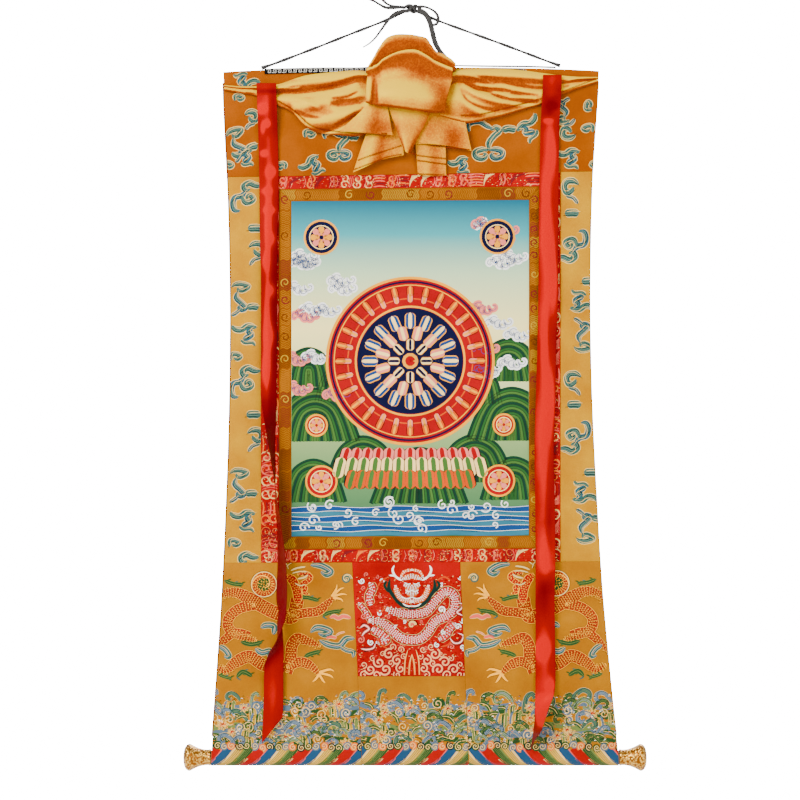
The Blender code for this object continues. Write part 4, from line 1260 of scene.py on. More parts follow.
def makeVeil():
    flaps = veil["flaps"]
    meshes = [
        silkSurface("swag_left", swagSections(veil["swagLeft"]), 150, 70),
        silkSurface("swag_right", swagSections(veil["swagRight"]), 150, 70),
        silkSurface("hood", hoodSections(), 80, 50, False),
        silkSurface("pouch", pouchSections(), 90, 90, False),
        silkSurface("flap_triangle", flapSections(flaps["triangle"]), 40, 50, False),
        silkSurface("flap_left", flapSections(flaps["left"]), 40, 50, False),
        silkSurface("flap_centre", flapSections(flaps["centre"]), 40, 50, False),
        silkSurface("flap_right", flapSections(flaps["right"]), 40, 50, False),
        silkSurface("flap_tail", flapSections(flaps["tail"]), 40, 50, False),
    ]
    mesh = joinMeshes("veil_cloth", meshes)
    writeShade(mesh, (-0.2, -0.75, 0.6), 1.6, veil["darker"])
    piece = addPiece("veil_cloth", mesh, [finishes["silk"]], ["veil"])
    thicken(piece, veil["thickness"])
    return piece


ribbons = {
    "thickness": 0.5,
    # shine: ovals of painted highlight where the amount is below zero and painted shade where it is above: x, z, half
    # width, half height, amount
    "shine": {
        "left": [
            (-180, -104, 30, 3, 0.5), (-172, -118, 5, 22, 0.4), (-186, -126, 5, 5, -0.8), (-179, -144, 4, 4, -0.9),
            (-185, -150, 3, 8, -0.6), (-184, -181, 4, 4, -0.9), (-175, -204, 6, 6, -0.8), (-180, -228, 6, 4, -0.6),
            (-176, -252, 7, 4, -0.8), (-172, -288, 4, 8, -0.6), (-181, -316, 4, 10, -0.7), (-173, -352, 5, 9, -0.8),
            (-176, -409, 6, 12, -0.9), (-180, -450, 5, 16, -0.5), (-184, -300, 5, 150, 0.3),
        ],
        "right": [
            (174, -104, 30, 12, 0.5), (178, -122, 6, 4, 0.6), (170, -140, 8, 4, -0.5), (176, -180, 5, 22, -0.6),
            (168, -250, 4, 40, -0.7), (178, -330, 4, 44, -0.6), (166, -420, 4, 40, -0.5), (174, -500, 5, 50, -0.6),
            (172, -640, 5, 36, 0.3), (164, -800, 8, 10, -1.0), (174, -850, 5, 14, -0.6), (162, -880, 5, 14, -0.5),
        ],
    },
    "left": [
        (-93.8, -192.8, -8.4, -180.5, -9.0, -168.1, -9.4, 0),
        (-125, -191.5, -8.4, -179.2, -9.8, -167.0, -9.4, 0),
        (-160, -190.5, -5.0, -178.3, -6.4, -166.2, -5.2, 0),
        (-207, -189.5, -4.2, -177.2, -5.2, -165.2, -3.6, 0),
        (-280, -188.6, -6.0, -177.4, -8.6, -166.4, -4.2, 0),
        (-351, -186.5, -12.0, -177.5, -11.0, -166.8, -4.4, 0),
        (-420, -187.0, -6.4, -178.0, -11.0, -167.2, -5.2, 0),
        (-489, -186.9, -12.0, -178.5, -10.0, -167.8, -3.8, 0),
        (-515, -182.0, -19.0, -175.0, -12.0, -168.5, -3.4, 0),
        (-539, -177.5, -24.0, -174.0, -13.0, -169.4, -3.4, 0),
        (-576, -171.2, -26.0, -170.5, -14.5, -168.8, -3.2, 0),
        (-614, -165.5, -26.0, -167.5, -14.5, -169.4, -3.2, 0),
        (-651, -160.0, -24.0, -163.5, -13.5, -166.9, -3.4, 0),
        (-692, -155.0, -22.0, -160.5, -12.5, -166.2, -3.4, 0),
        (-739, -154.0, -21.0, -161.0, -12.0, -167.6, -3.8, 0),
        (-765, -157.5, -23.0, -166.0, -14.0, -161.5, -4.0, 0),
        (-789, -167.5, -20.0, -166.0, -11.0, -159.4, -4.0, 0),
        (-803, -176.0, -14.5, -168.5, -8.5, -158.8, -4.4, 0),
        (-822, -182.5, -8.5, -170.8, -7.0, -159.2, -4.8, 0),
        (-862, -183.8, -5.6, -171.5, -6.0, -159.4, -5.0, 0),
        (-892, -185.0, -4.6, -172.8, -5.2, -160.2, -4.6, 8),
        (-917, -186.2, -4.2, -174.5, -5.0, -162.0, -4.4, 30),
    ],
    "right": [
        (-83.4, 164.4, -8.6, 176.0, -8.4, 187.9, -8.0, 0),
        (-106, 163.6, -9.0, 175.6, -10.4, 187.4, -9.6, 0),
        (-126, 162.5, -8.6, 174.0, -6.8, 185.8, -8.0, 0),
        (-151, 161.6, -5.2, 173.4, -6.2, 184.9, -5.2, 0),
        (-239, 159.7, -4.0, 172.0, -5.0, 184.3, -4.2, 0),
        (-300, 159.3, -6.2, 171.6, -7.6, 183.8, -4.4, 0),
        (-364, 158.8, -4.4, 171.0, -6.6, 183.2, -6.2, 0),
        (-414, 157.6, -8.2, 169.4, -7.2, 181.5, -4.4, 0),
        (-489, 155.6, -4.4, 168.0, -6.4, 180.2, -5.4, 0),
        (-551, 154.0, -6.2, 166.2, -7.6, 178.4, -4.4, 0),
        (-640, 155.2, -4.4, 167.5, -5.8, 179.8, -5.2, 0),
        (-697, 155.4, -5.2, 167.6, -8.6, 179.8, -9.0, 0),
        (-732, 155.2, -8.4, 167.0, -5.6, 179.2, -5.4, 0),
        (-790, 155.4, -4.8, 167.6, -6.0, 179.8, -5.2, 0),
        (-850, 155.2, -4.8, 167.2, -6.6, 179.2, -7.4, 0),
        (-874, 154.8, -4.6, 163.6, -11.4, 169.4, -20.0, 0),
        (-892, 153.8, -4.2, 158.6, -14.0, 163.2, -24.0, 0),
        (-908, 151.8, -4.0, 155.6, -13.6, 159.4, -23.0, 6),
        (-927, 149.0, -4.0, 151.6, -12.0, 154.6, -20.0, 20),
    ],
}


def makeRibbon(side):
    sections = [
        [(xLeft, yLeft, z), (xMiddle, yMiddle, z + slant / 2), (xRight, yRight, z + slant)]
        for z, xLeft, yLeft, xMiddle, yMiddle, xRight, yRight, slant in ribbons[side]
    ]
    lines = np.array([smoothLine(section, 17) for section in sections])
    columns = np.array([smoothLine(lines[:, column], 420) for column in range(17)])
    spots = columns.transpose(1, 0, 2)[::-1].copy()
    name = f"ribbon_{side}_cloth"
    mesh = gridMesh(name, spots)
    writeShade(mesh, (-0.3, -0.8, 0.5), 1.2, ribbons["shine"][side])
    piece = addPiece(name, mesh, [finishes["ribbon"]], ["ribbon_" + side])
    thicken(piece, ribbons["thickness"])
    flatSize(spots)
    return piece


knobs = {
    "profile": [
        (0.0, 8.7),
        (0.0, 9.9),
        (1.6, 10.2),
        (3.2, 9.7),
        (9.0, 10.1),
        (15.0, 11.6),
        (20.0, 13.7),
        (24.0, 15.8),
        (26.4, 16.9),
        (28.2, 16.7),
        (30.6, 15.2),
        (32.8, 11.8),
        (34.1, 6.4),
        (34.5, 0.0),
    ],
    "mouths": (-250.9, 261.2),
}


roller = {"middle": -937.0, "depth": 9.9, "radius": 8.25, "ends": (-264.0, 274.5)}


def makeKnobs():
    for name, mouth, way in (("knob_left", knobs["mouths"][0], -1), ("knob_right", knobs["mouths"][1], 1)):
        shape = bmesh.new()
        points = smoothLine(knobs["profile"], 70)
        previous = None
        for along, radius in points:
            vertex = shape.verts.new(((mouth + way * along) * mm, roller["depth"] * mm, (roller["middle"] + radius) * mm))
            if previous:
                shape.edges.new((previous, vertex))
            previous = vertex
        bmesh.ops.spin(
            shape,
            geom=shape.verts[:] + shape.edges[:],
            cent=(0.0, roller["depth"] * mm, roller["middle"] * mm),
            axis=(1.0, 0.0, 0.0),
            angle=2 * math.pi,
            steps=72,
            use_merge=True,
        )
        bmesh.ops.remove_doubles(shape, verts=shape.verts, dist=1e-6)
        bmesh.ops.holes_fill(shape, edges=shape.edges, sides=0)
        bmesh.ops.recalc_face_normals(shape, faces=shape.faces)
        mesh = bpy.data.meshes.new(name + "_gilt")
        shape.to_mesh(mesh)
        shape.free()
        mesh.shade_smooth()
        addPiece(name + "_gilt", mesh, [finishes["gilt"]], [name])
    shape = bmesh.new()
    low, high = roller["ends"]
    turn = Matrix.Translation(Vector(((low + high) / 2 * mm, roller["depth"] * mm, roller["middle"] * mm)))
    bmesh.ops.create_cone(
        shape,
        cap_ends=True,
        segments=48,
        radius1=roller["radius"] * mm,
        radius2=roller["radius"] * mm,
        depth=(high - low) * mm,
        matrix=turn @ Matrix.Rotation(math.radians(90), 4, "Y"),
    )
    mesh = bpy.data.meshes.new("bottom_roller_wood")
    shape.to_mesh(mesh)
    shape.free()
    addPiece("bottom_roller_wood", mesh, [finishes["wood"]], ["bottom_roller"])


makeKnobs()
veilPiece = makeVeil()
makeRibbon("left")
makeRibbon("right")
print("silk and ribbons made")


# Woven figures: flat strips of thread along strokes, laid on the hung cloth
def strokeMesh(name, strokes, palette):
    # A stroke is its points (x, z), its widths, its tone's number and its height over the cloth
    curve = bpy.data.curves.new(name, "CURVE")
    curve.dimensions = "3D"
    curve.twist_mode = "Z_UP"
    curve.extrude = 0.5
    for toneName in palette:
        curve.materials.append(threads[toneName])
    for points, widths, toneNumber, height in strokes:
        spline = curve.splines.new("POLY")
        spline.points.add(len(points) - 1)
        spots = np.ones((len(points), 4))
        spots[:, :2] = points
        spots[:, 2] = height
        spline.points.foreach_set("co", spots.ravel())
        spline.points.foreach_set("radius", np.array(widths, float) * np.ones(len(points)))
        spline.points.foreach_set("tilt", np.full(len(points), math.pi / 2))
        spline.material_index = toneNumber
    holder = bpy.data.objects.new(name, curve)
    bpy.context.scene.collection.objects.link(holder)
    graph = bpy.context.evaluated_depsgraph_get()
    mesh = bpy.data.meshes.new_from_object(holder.evaluated_get(graph))
    bpy.data.objects.remove(holder)
    bpy.data.curves.remove(curve)
    return mesh


def smoothStroke(points, width, toneNumber, height, ends="both", step=1.6):
    # The stroke's line made smooth, its width drawn in to a point at both ends, the last or none
    points = np.array(points, float)
    length = np.linalg.norm(np.diff(points, axis=0), axis=1).sum()
    count = int(np.clip(length / step, 4, 90)) + 1
    share = np.linspace(0, 1, count)
    near = {"both": np.minimum(share, 1 - share), "last": 1 - share, "none": share * 0 + 1, "blunt": share * 0 + 1}
    fade = np.clip(near[ends] * (5 if ends != "last" else 2.5), 0.0, 1.0) ** 0.6
    if ends == "blunt":
        fade = np.clip(np.minimum(share, 1 - share) * 12, 0.45, 1.0)
    return smoothLine(points, count), np.maximum(width * fade, 0.12), toneNumber, height


def threadedStroke(points, width, tones, height, ends="both", rim=2.4):
    # A figure's limb: the pale rim below, then its body
    rimTone, bodyTone = tones
    return [
        smoothStroke(points, width + rim, rimTone, height, ends),
        smoothStroke(points, width, bodyTone, height + 0.07, ends),
    ]


def onFront(x, z, height):
    return onMount(x, z, height)


def onLower(x, z, height):
    # The lower panels turn round the roller at their foot
    radius, middle = mount["sleeveRadius"], mount["rollerZ"]
    blend = np.clip((z - middle) / 60.0, 0, 1)
    level = z + (levelAt(x, z) - z) * blend
    angle = np.clip((middle - z) / radius, 0, 1.6)
    depth = np.where(z < middle, radius - (radius + height) * np.cos(angle), drapeDepth(x, level) - height)
    return np.stack([x, depth, np.where(z < middle, middle - (radius + height) * np.sin(angle), level)], axis=-1)


def figurePiece(name, strokes, palette, edges, place=onFront):
    left, right, bottom, top = edges
    mesh = strokeMesh(name, strokes, palette)
    shape = bmesh.new()
    shape.from_mesh(mesh)
    for _ in range(3):
        wide = [edge for edge in shape.edges if edge.calc_length() > 3.4]
        bmesh.ops.subdivide_edges(shape, edges=wide, cuts=1, use_grid_fill=True)
    shape.to_mesh(mesh)
    flat = readSpots(mesh)
    z = np.clip(flat[:, 1], bottom + 0.3, top - 0.3)
    x = np.clip(flat[:, 0], left(z) + 0.3, right(z) - 0.3)
    beyond = np.abs(x - flat[:, 0]) + np.abs(z - flat[:, 1]) > 1e-4
    shape.free()
    writeSpots(mesh, np.stack([x, z, flat[:, 2]], axis=1))
    shape = bmesh.new()
    shape.from_mesh(mesh)
    outside = [face for face in shape.faces if all(beyond[vertex.index] for vertex in face.verts)]
    bmesh.ops.delete(shape, geom=outside, context="FACES")
    shape.to_mesh(mesh)
    shape.free()
    flat = readSpots(mesh)
    writeSpots(mesh, place(flat[:, 0], flat[:, 1], flat[:, 2]) * mm)
    mesh.shade_smooth()
    return addPiece(name, mesh, [])


def placeFigure(strokes, x, z, size=1.0, turn=0.0, flip=1):
    # Copies of drawn strokes, turned, sized and mirrored
    angle = math.radians(turn)
    copies = []
    for points, *rest in strokes:
        local = np.array(points, float) * size * (flip, 1)
        spun = local @ np.array([[math.cos(angle), math.sin(angle)], [-math.sin(angle), math.cos(angle)]])
        copies.append((spun + (x, z), *rest))
    return copies


def drawnOn(points, origin, unit):
    # From a drawing's own grid, which counts down, to the cloth
    return [(origin[0] + x * unit, origin[1] - y * unit) for x, y in points]


clouds = {
    "double": [
        ([(26, 14), (17, 15), (10, 18), (3.5, 14), (5, 9), (11.5, 9.6)], 6.2),
        ([(6.4, 8.3), (0, 0.8), (-8, -1.6), (-10.8, -9.6), (-8, -17.5), (-1.3, -18.3)], 5.6),
        ([(0, 0), (5.6, -8), (14.7, -4.5), (11.5, 1.3), (6.7, -1.3), (8, -4)], 5.4),
    ],
    "leaf": [([(-9, 0), (-3, 0.8), (3, 0.8), (9, 0)], 7.4)],
    "curl": [
        ([(-10.8, 4), (-4.8, 8), (3.2, 8), (7.2, 3.2), (4.8, -4.8), (-1.6, -3.2), (-4.8, 1.6)], 5.6),
        ([(5.6, -9), (-3.2, -11.2), (-7.2, -15.1), (-9.6, -19.1)], 3.2),
    ],
    "chain": [
        ([(-10.4, 12.8), (-6.4, 16.3), (1.6, 17.2), (10.8, 14), (4.8, 9.6), (-1.6, 9.2), (-2.4, 13.5)], 4.8),
        ([(-2.4, 8), (-4.5, 0), (2.4, -7.2), (7.2, -12.8), (2.4, -15.1), (-1.6, -12), (0.8, -9.6)], 5.4),
        ([(8.8, -12.8), (16, -11.4), (23.9, -12.8)], 6.6),
        ([(0, -15.1), (-5.6, -19.9), (-10.7, -22.6)], 3.4),
    ],
    "trail": [
        ([(-19.1, 11.2), (-13.5, 6.4), (-5.6, 5.6), (1.6, 10.4), (13.5, 8.3)], 5.6),
        ([(8, 7.2), (3.2, 3.2), (6.4, -0.8), (-4, -6.7)], 6.0),
        ([(-7.2, -6.7), (-1.6, -10.4), (8, -10.4), (11.5, -14.7)], 3.4),
    ],
    "bud": [([(-5, -5), (-4, 3), (3, 3), (7, 0), (2, -3), (-2, -1)], 4.4)],
    "crown": [
        ([(0, 4), (-8, 4.8), (-16.7, 1.6), (-15.9, -4), (-8, -6.4), (-3.2, -2.4), (-7.2, 0.8)], 5.4),
        ([(0, 4), (8, 4.8), (16.7, 1.6), (15.9, -4), (8, -6.4), (3.2, -2.4), (7.2, 0.8)], 5.4),
        ([(0.8, 3.2), (0.3, 12.8), (6.4, 21.5), (13.6, 28.7), (8, 32.7), (2.4, 28.7)], 5.4),
        ([(-23.9, 27.1), (-24.7, 36.7), (-12, 39.9), (-1.6, 34.3), (6.4, 30.3)], 4.6),
        ([(16.7, 28.7), (24.7, 31), (34.7, 29)], 6.6),
    ],
}


def cloudStrokes(kind, x, z, size=1.0, turn=0.0, flip=1, height=0.1):
    strokes = []
    for number, (points, width) in enumerate(clouds[kind]):
        lift = height + 0.004 * number
        strokes.append(smoothStroke(points, width * 1.25 + 1.8, 0, lift))
        strokes.append(smoothStroke(points, width * 1.25, 1 + (number % 2), lift + 0.06))
        strokes.append(smoothStroke(points, width * 0.4, 4, lift + 0.1))
        strokes.append(smoothStroke(points, width * 0.15, 3, lift + 0.13))
        for way in (-1, 1):
            middle = np.array(points, float) + (0.3 * way * width, 0.34 * way * width)
            strokes.append(smoothStroke(middle, width * 0.12, 0 if way > 0 else 3, lift + 0.15))
    return placeFigure(strokes, x, z, size, turn, flip)


cloudRepeat = {
    "pitch": 239.0,
    "left": [
        ("double", -212, -233, 0, 1),
        ("leaf", -195, -274, 0, 1),
        ("curl", -192, -301, 0, 1),
        ("chain", -214, -360, 0, 1),
        ("trail", -206, -406, 0, 1),
        ("bud", -220, -434, 0, 1),
    ],
    "right": [
        ("curl", 199, -226, 0, -1),
        ("leaf", 201, -257, 0, 1),
        ("double", 208, -297, 180, 1),
        ("leaf", 222, -342, 0, 1),
        ("trail", 212, -366, 180, 1),
        ("chain", 214, -410, 180, -1),
    ],
    "top": [
        ("trail", -208, -86, 200, 1, 0.9),
        ("bud", -216, -109, 0, 1, 0.8),
        ("curl", -199, -134, 0, 1, 0.8),
        ("chain", -217, -165, 20, 1, 0.95),
        ("trail", -208, -183, 10, 1, 0.8),
        ("bud", -229, -192, 0, 1, 0.8),
        ("bud", -128, -155, 0, 1, 0.9),
        ("crown", -90, -181, 0, 1, 0.72),
        ("bud", -161, -194, 0, -1, 0.8),
        ("trail", -122, -195, 30, 1, 0.9),
        ("trail", 62, -197, 10, 1, 0.8),
        ("crown", 97, -182, 0, 1, 1.0),
        ("trail", 148, -152, 40, -1, 1.0),
        ("chain", 190, -130, 180, 1, 0.8),
        ("bud", 222, -123, 90, 1, 0.9),
        ("curl", 196, -156, 180, 1, 0.9),
        ("bud", 222, -152, 0, -1, 1.0),
        ("trail", 198, -190, 0, 1, 0.95),
        ("bud", 231, -198, 0, -1, 0.8),
        ("trail", 136, -79, 0, 1, 0.8),
    ],
}


def makeClouds():
    palette = ["cream", "teal", "blueTeal", "darkTeal", "paleTeal"]
    red = mount["redFrame"]
    spans = {
        "left": (leftEdge, lambda z: red["left"] + 0 * z),
        "right": (lambda z: red["right"] + 0 * z, rightEdge),
    }
    for side, (left, right) in spans.items():
        strokes = []
        for repeat in range(3):
            for kind, x, z, turn, flip in cloudRepeat[side]:
                place = z - repeat * cloudRepeat["pitch"] + (6 if side == "left" else 0) * repeat
                if place > red["bottom"] - 12:
                    strokes += cloudStrokes(kind, x + (3 * repeat if side == "right" else -2 * repeat), place, 1.0, turn, flip)
        edges = (left, right, red["bottom"], red["top"])
        figurePiece(f"side_panel_{side}_clouds", strokes, palette, edges)
    strokes = []
    for kind, x, z, turn, flip, size in cloudRepeat["top"]:
        strokes += cloudStrokes(kind, x, z, size, turn, flip)
    edges = (leftEdge, rightEdge, red["top"], mount["top"] - mount["hemRadius"])
    figurePiece("top_panel_clouds", strokes, palette, edges)


# The dragon brocade, drawn once and mirrored: a grid of 0.17 mm from the left panel's corner
dragon = {
    "origin": (-251.2, -686.2),
    "unit": 0.1706,
    "mirror": -0.9,
    "body": [
        ([(640, 300), (600, 430), (480, 400), (380, 350), (280, 290), (190, 250), (90, 262), (30, 330)], 96),
        ([(330, 340), (210, 370), (135, 440), (140, 515), (230, 572), (335, 602)], 74),
        ([(500, 800), (390, 780), (290, 720), (190, 760), (110, 820), (40, 790)], 88),
        ([(290, 570), (190, 545), (90, 610), (20, 690)], 62),
        ([(560, 840), (590, 740), (600, 640), (640, 590), (720, 610), (805, 640)], 84),
        ([(600, 420), (700, 400), (790, 388), (860, 330), (925, 272)], 66),
        ([(560, 800), (660, 760), (740, 790), (800, 850)], 70),
    ],
    "claws": [
        ([(900, 290), (960, 300), (975, 320)], 16),
        ([(900, 280), (970, 262), (1005, 268)], 16),
        ([(905, 270), (955, 225), (985, 215)], 16),
        ([(890, 280), (925, 225), (930, 190)], 16),
        ([(800, 850), (770, 890), (750, 905)], 18),
        ([(800, 850), (830, 900), (845, 915)], 18),
        ([(800, 840), (880, 860), (905, 880)], 18),
        ([(800, 835), (880, 815), (910, 830)], 18),
    ],
    "loop": (395, 190, 92, 88),
    "mane": [
        ([(560, 120), (610, 170), (640, 260), (640, 340)], 60),
        ([(640, 120), (690, 110), (735, 140), (700, 175), (650, 190)], 34),
        ([(650, 210), (700, 215), (690, 250), (720, 262)], 26),
    ],
    "clouds": [
        ([(735, 52), (790, 48), (850, 70), (885, 100), (850, 118), (810, 95)], 30),
        ([(735, 545), (775, 512), (830, 515), (882, 540), (840, 560), (790, 550)], 30),
        ([(800, 600), (850, 625), (900, 640), (950, 640), (1000, 590), (1060, 590)], 30),
        ([(950, 645), (1000, 675), (1050, 690), (1045, 730)], 20),
        ([(370, 510), (410, 490), (470, 500), (465, 560)], 28),
        ([(330, 660), (380, 690), (440, 680), (430, 740)], 28),
        ([(60, 640), (110, 670), (140, 720), (100, 720)], 26),
    ],
    "leaves": [
        ([(655, 282), (720, 290), (800, 312)], 26),
        ([(825, 425), (870, 400), (965, 385)], 26),
        ([(690, 722), (740, 700), (812, 682)], 28),
        ([(105, 160), (170, 185), (245, 190)], 26),
        ([(225, 610), (300, 630), (385, 612)], 30),
        ([(195, 870), (240, 830), (310, 865)], 30),
        ([(60, 850), (110, 870), (160, 880)], 20),
    ],
    "pearl": (1000, 150, 34),
    "face": [
        ([(590, 90), (640, 70), (700, 62)], 13),
        ([(600, 110), (660, 96), (712, 100)], 10),
        ([(640, 150), (690, 140), (720, 120)], 14),
        ([(620, 180), (660, 200), (700, 190)], 9),
        ([(560, 60), (600, 30), (650, 20)], 7),
        ([(575, 80), (560, 40), (540, 20)], 7),
    ],
    "pink": [([(875, 440), (905, 425), (940, 440), (975, 425), (1035, 440)], 26)],
    "sparks": [([(850, 590), (880, 575), (930, 585)], 20), ([(920, 570), (950, 550), (990, 540)], 7)],
}


def scaleStrokes(points, width, pitch, toneNumber, height):
    # Rows of small curved scales across a limb
    line = smoothLine(points, max(4, int(np.linalg.norm(np.diff(points, axis=0), axis=1).sum() / pitch)))
    ways = np.gradient(line, axis=0)
    ways /= np.maximum(np.linalg.norm(ways, axis=1), 1e-6)[:, None]
    sides = np.stack([-ways[:, 1], ways[:, 0]], axis=1)
    strokes = []
    count = max(2, int(width / pitch))
    for row, (spot, way, side) in enumerate(zip(line, ways, sides)):
        end = min(row, len(line) - 1 - row) / 3 + 0.35
        reach = width * min(end, 1.0) * 0.92
        for column in range(count):
            offset = ((column + 0.5 + 0.5 * (row % 2)) / count - 0.5) * reach
            if abs(offset) < reach / 2:
                centre = spot + side * offset
                arc = [centre - side * pitch * 0.42, centre + way * pitch * 0.5, centre + side * pitch * 0.42]
                strokes.append((arc, (0.3, 0.85, 0.3), toneNumber, height))
    return strokes


def spiralPoints(x, z, radius, turns=1.6, start=0.0, way=1):
    share = np.linspace(1.0, 0.12, 16)
    angle = math.radians(start) + way * (1 - share) * turns * 2 * math.pi
    return np.stack([x + radius * share * np.cos(angle), z + radius * share * np.sin(angle)], axis=1)


dragonPalette = [
    "goldThread", "terracotta", "brown", "teal", "paleGreen", "green", "greyBlue", "white", "peach", "red", "blue",
    "cream", "darkTeal", "pink", "goldSatinThread", "yellow", "paleBlue",
]
tonesOf = {name: number for number, name in enumerate(dragonPalette)}


def dragonStrokes():
    origin, unit = dragon["origin"], dragon["unit"]
    rim, body = tonesOf["goldThread"], tonesOf["terracotta"]
    strokes = []
    for number, (points, width) in enumerate(dragon["body"]):
        line = drawnOn(points, origin, unit)
        lift = 0.1 + 0.01 * number
        strokes.append(smoothStroke(line, width * unit + 2.2, tonesOf["brown"], lift, "last"))
        strokes.append(smoothStroke(line, width * unit + 1.2, rim, lift + 0.03, "last"))
        strokes.append(smoothStroke(line, width * unit, body, lift + 0.06, "last"))
        strokes += scaleStrokes(np.array(line), width * unit, 2.9, rim, lift + 0.12)
        strokes += scaleStrokes(np.array(line) + (0.6, -0.7), width * unit, 2.9, tonesOf["brown"], lift + 0.1)
    for points, width in dragon["claws"]:
        strokes += threadedStroke(drawnOn(points, origin, unit), width * unit, (tonesOf["brown"], rim), 0.24, "last", 1.2)
    x, z = drawnOn([dragon["loop"][:2]], origin, unit)[0]
    radius = dragon["loop"][2] * unit
    ring = spiralPoints(x, z, radius, 0.98, 200, -1)
    for reach, wide, toneName, lift in (
        (1.0, 2.6, "brown", 0.2), (1.0, 1.3, "cream", 0.28), (0.7, 9.0, "terracotta", 0.22), (0.3, 7.0, "green", 0.24)
    ):
        angle = np.linspace(0, 2 * math.pi, 33)
        circle = np.stack([x + radius * reach * np.cos(angle), z + radius * reach * np.sin(angle)], axis=1)
        strokes.append((circle, np.full(33, wide), tonesOf[toneName], lift))
        strokes += scaleStrokes(circle, wide, 2.8, rim, lift + 0.06) if wide > 6 else []
    strokes.append(smoothStroke(ring, 1.2, rim, 0.33))
    for number, (points, width) in enumerate(dragon["mane"]):
        line = drawnOn(points, origin, unit)
        strokes += threadedStroke(line, width * unit, (rim, tonesOf["red"]), 0.26 + 0.01 * number, "both", 1.6)
        strokes += scaleStrokes(np.array(line), width * unit, 2.6, rim, 0.38)
    for points, width in dragon["face"]:
        line = drawnOn(points, origin, unit)
        strokes += threadedStroke(line, width * unit, (tonesOf["brown"], tonesOf["cream"]), 0.4, "both", 0.8)
    for spot in drawnOn([(655, 128), (690, 122)], origin, unit):
        strokes.append(smoothStroke(spiralPoints(*spot, 1.2, 1.1), 1.0, tonesOf["darkTeal"], 0.5, "none"))
    for points, width in dragon["clouds"]:
        line = drawnOn(points, origin, unit)
        strokes += threadedStroke(line, width * 1.5 * unit, (tonesOf["cream"], tonesOf["teal"]), 0.2, "both", 1.2)
        strokes.append(smoothStroke(line, width * unit * 0.6, tonesOf["paleBlue"], 0.32))
        strokes.append(smoothStroke(line, width * unit * 0.2, tonesOf["darkTeal"], 0.33))
        strokes.append(smoothStroke(spiralPoints(*line[-2], 2.6, 1.4), 1.8, tonesOf["teal"], 0.34, "none"))
        strokes.append(smoothStroke(np.array(line) + (0, 0.9), 0.6, tonesOf["cream"], 0.35))
    for points, width in dragon["leaves"]:
        line = drawnOn(points, origin, unit)
        for number, (x, z) in enumerate(smoothLine(line, 7)[:-1]):
            frond = [(x, z), (x + 3, z + (2.4 if number % 2 else -2.4)), (x + 6, z + (3 if number % 2 else -3.4))]
            strokes.append(smoothStroke(frond, 1.9, tonesOf["green" if number % 3 else "teal"], 0.18, "last"))
        strokes += threadedStroke(line, width * unit, (tonesOf["paleGreen"], tonesOf["green"]), 0.19, "both", 0.8)
        strokes.append(smoothStroke(line, 0.7, tonesOf["paleGreen"], 0.33))
    for points, width in dragon["pink"] + dragon["sparks"]:
        line = drawnOn(points, origin, unit)
        strokes += threadedStroke(line, width * unit, (tonesOf["cream"], tonesOf["pink"]), 0.2, "both", 1.4)
    x, z = drawnOn([dragon["pearl"][:2]], origin, unit)[0]
    strokes.append(smoothStroke(spiralPoints(x, z, 6.0, 2.4), 2.4, tonesOf["teal"], 0.24, "none"))
    strokes.append(smoothStroke(spiralPoints(x, z, 7.0, 1.0), 1.2, tonesOf["cream"], 0.26, "none"))
    strokes.append(smoothStroke(spiralPoints(x, z, 5.0, 2.0), 0.7, tonesOf["cream"], 0.32, "none"))
    return strokes


def mirrored(strokes, axis):
    return [(np.array(points) * (-1, 1) + (2 * axis, 0), *rest) for points, *rest in strokes]


waves = {
    "top": -852.0,
    "stripeTop": -923.0,
    "stripeFoot": -951.0,
    "stripePitch": 56.3,
    "stripes": [
        ("yellow", 30.5, 14.0),
        ("pink", 8.6, 3.4),
        ("cream", 23.4, 4.0),
        ("cream", 49.0, 4.0),
        ("green", 42.5, 11.5),
        ("paleGreen", 37.0, 3.0),
        ("blue", 15.6, 12.5),
        ("red", 0.0, 15.0),
    ],
}


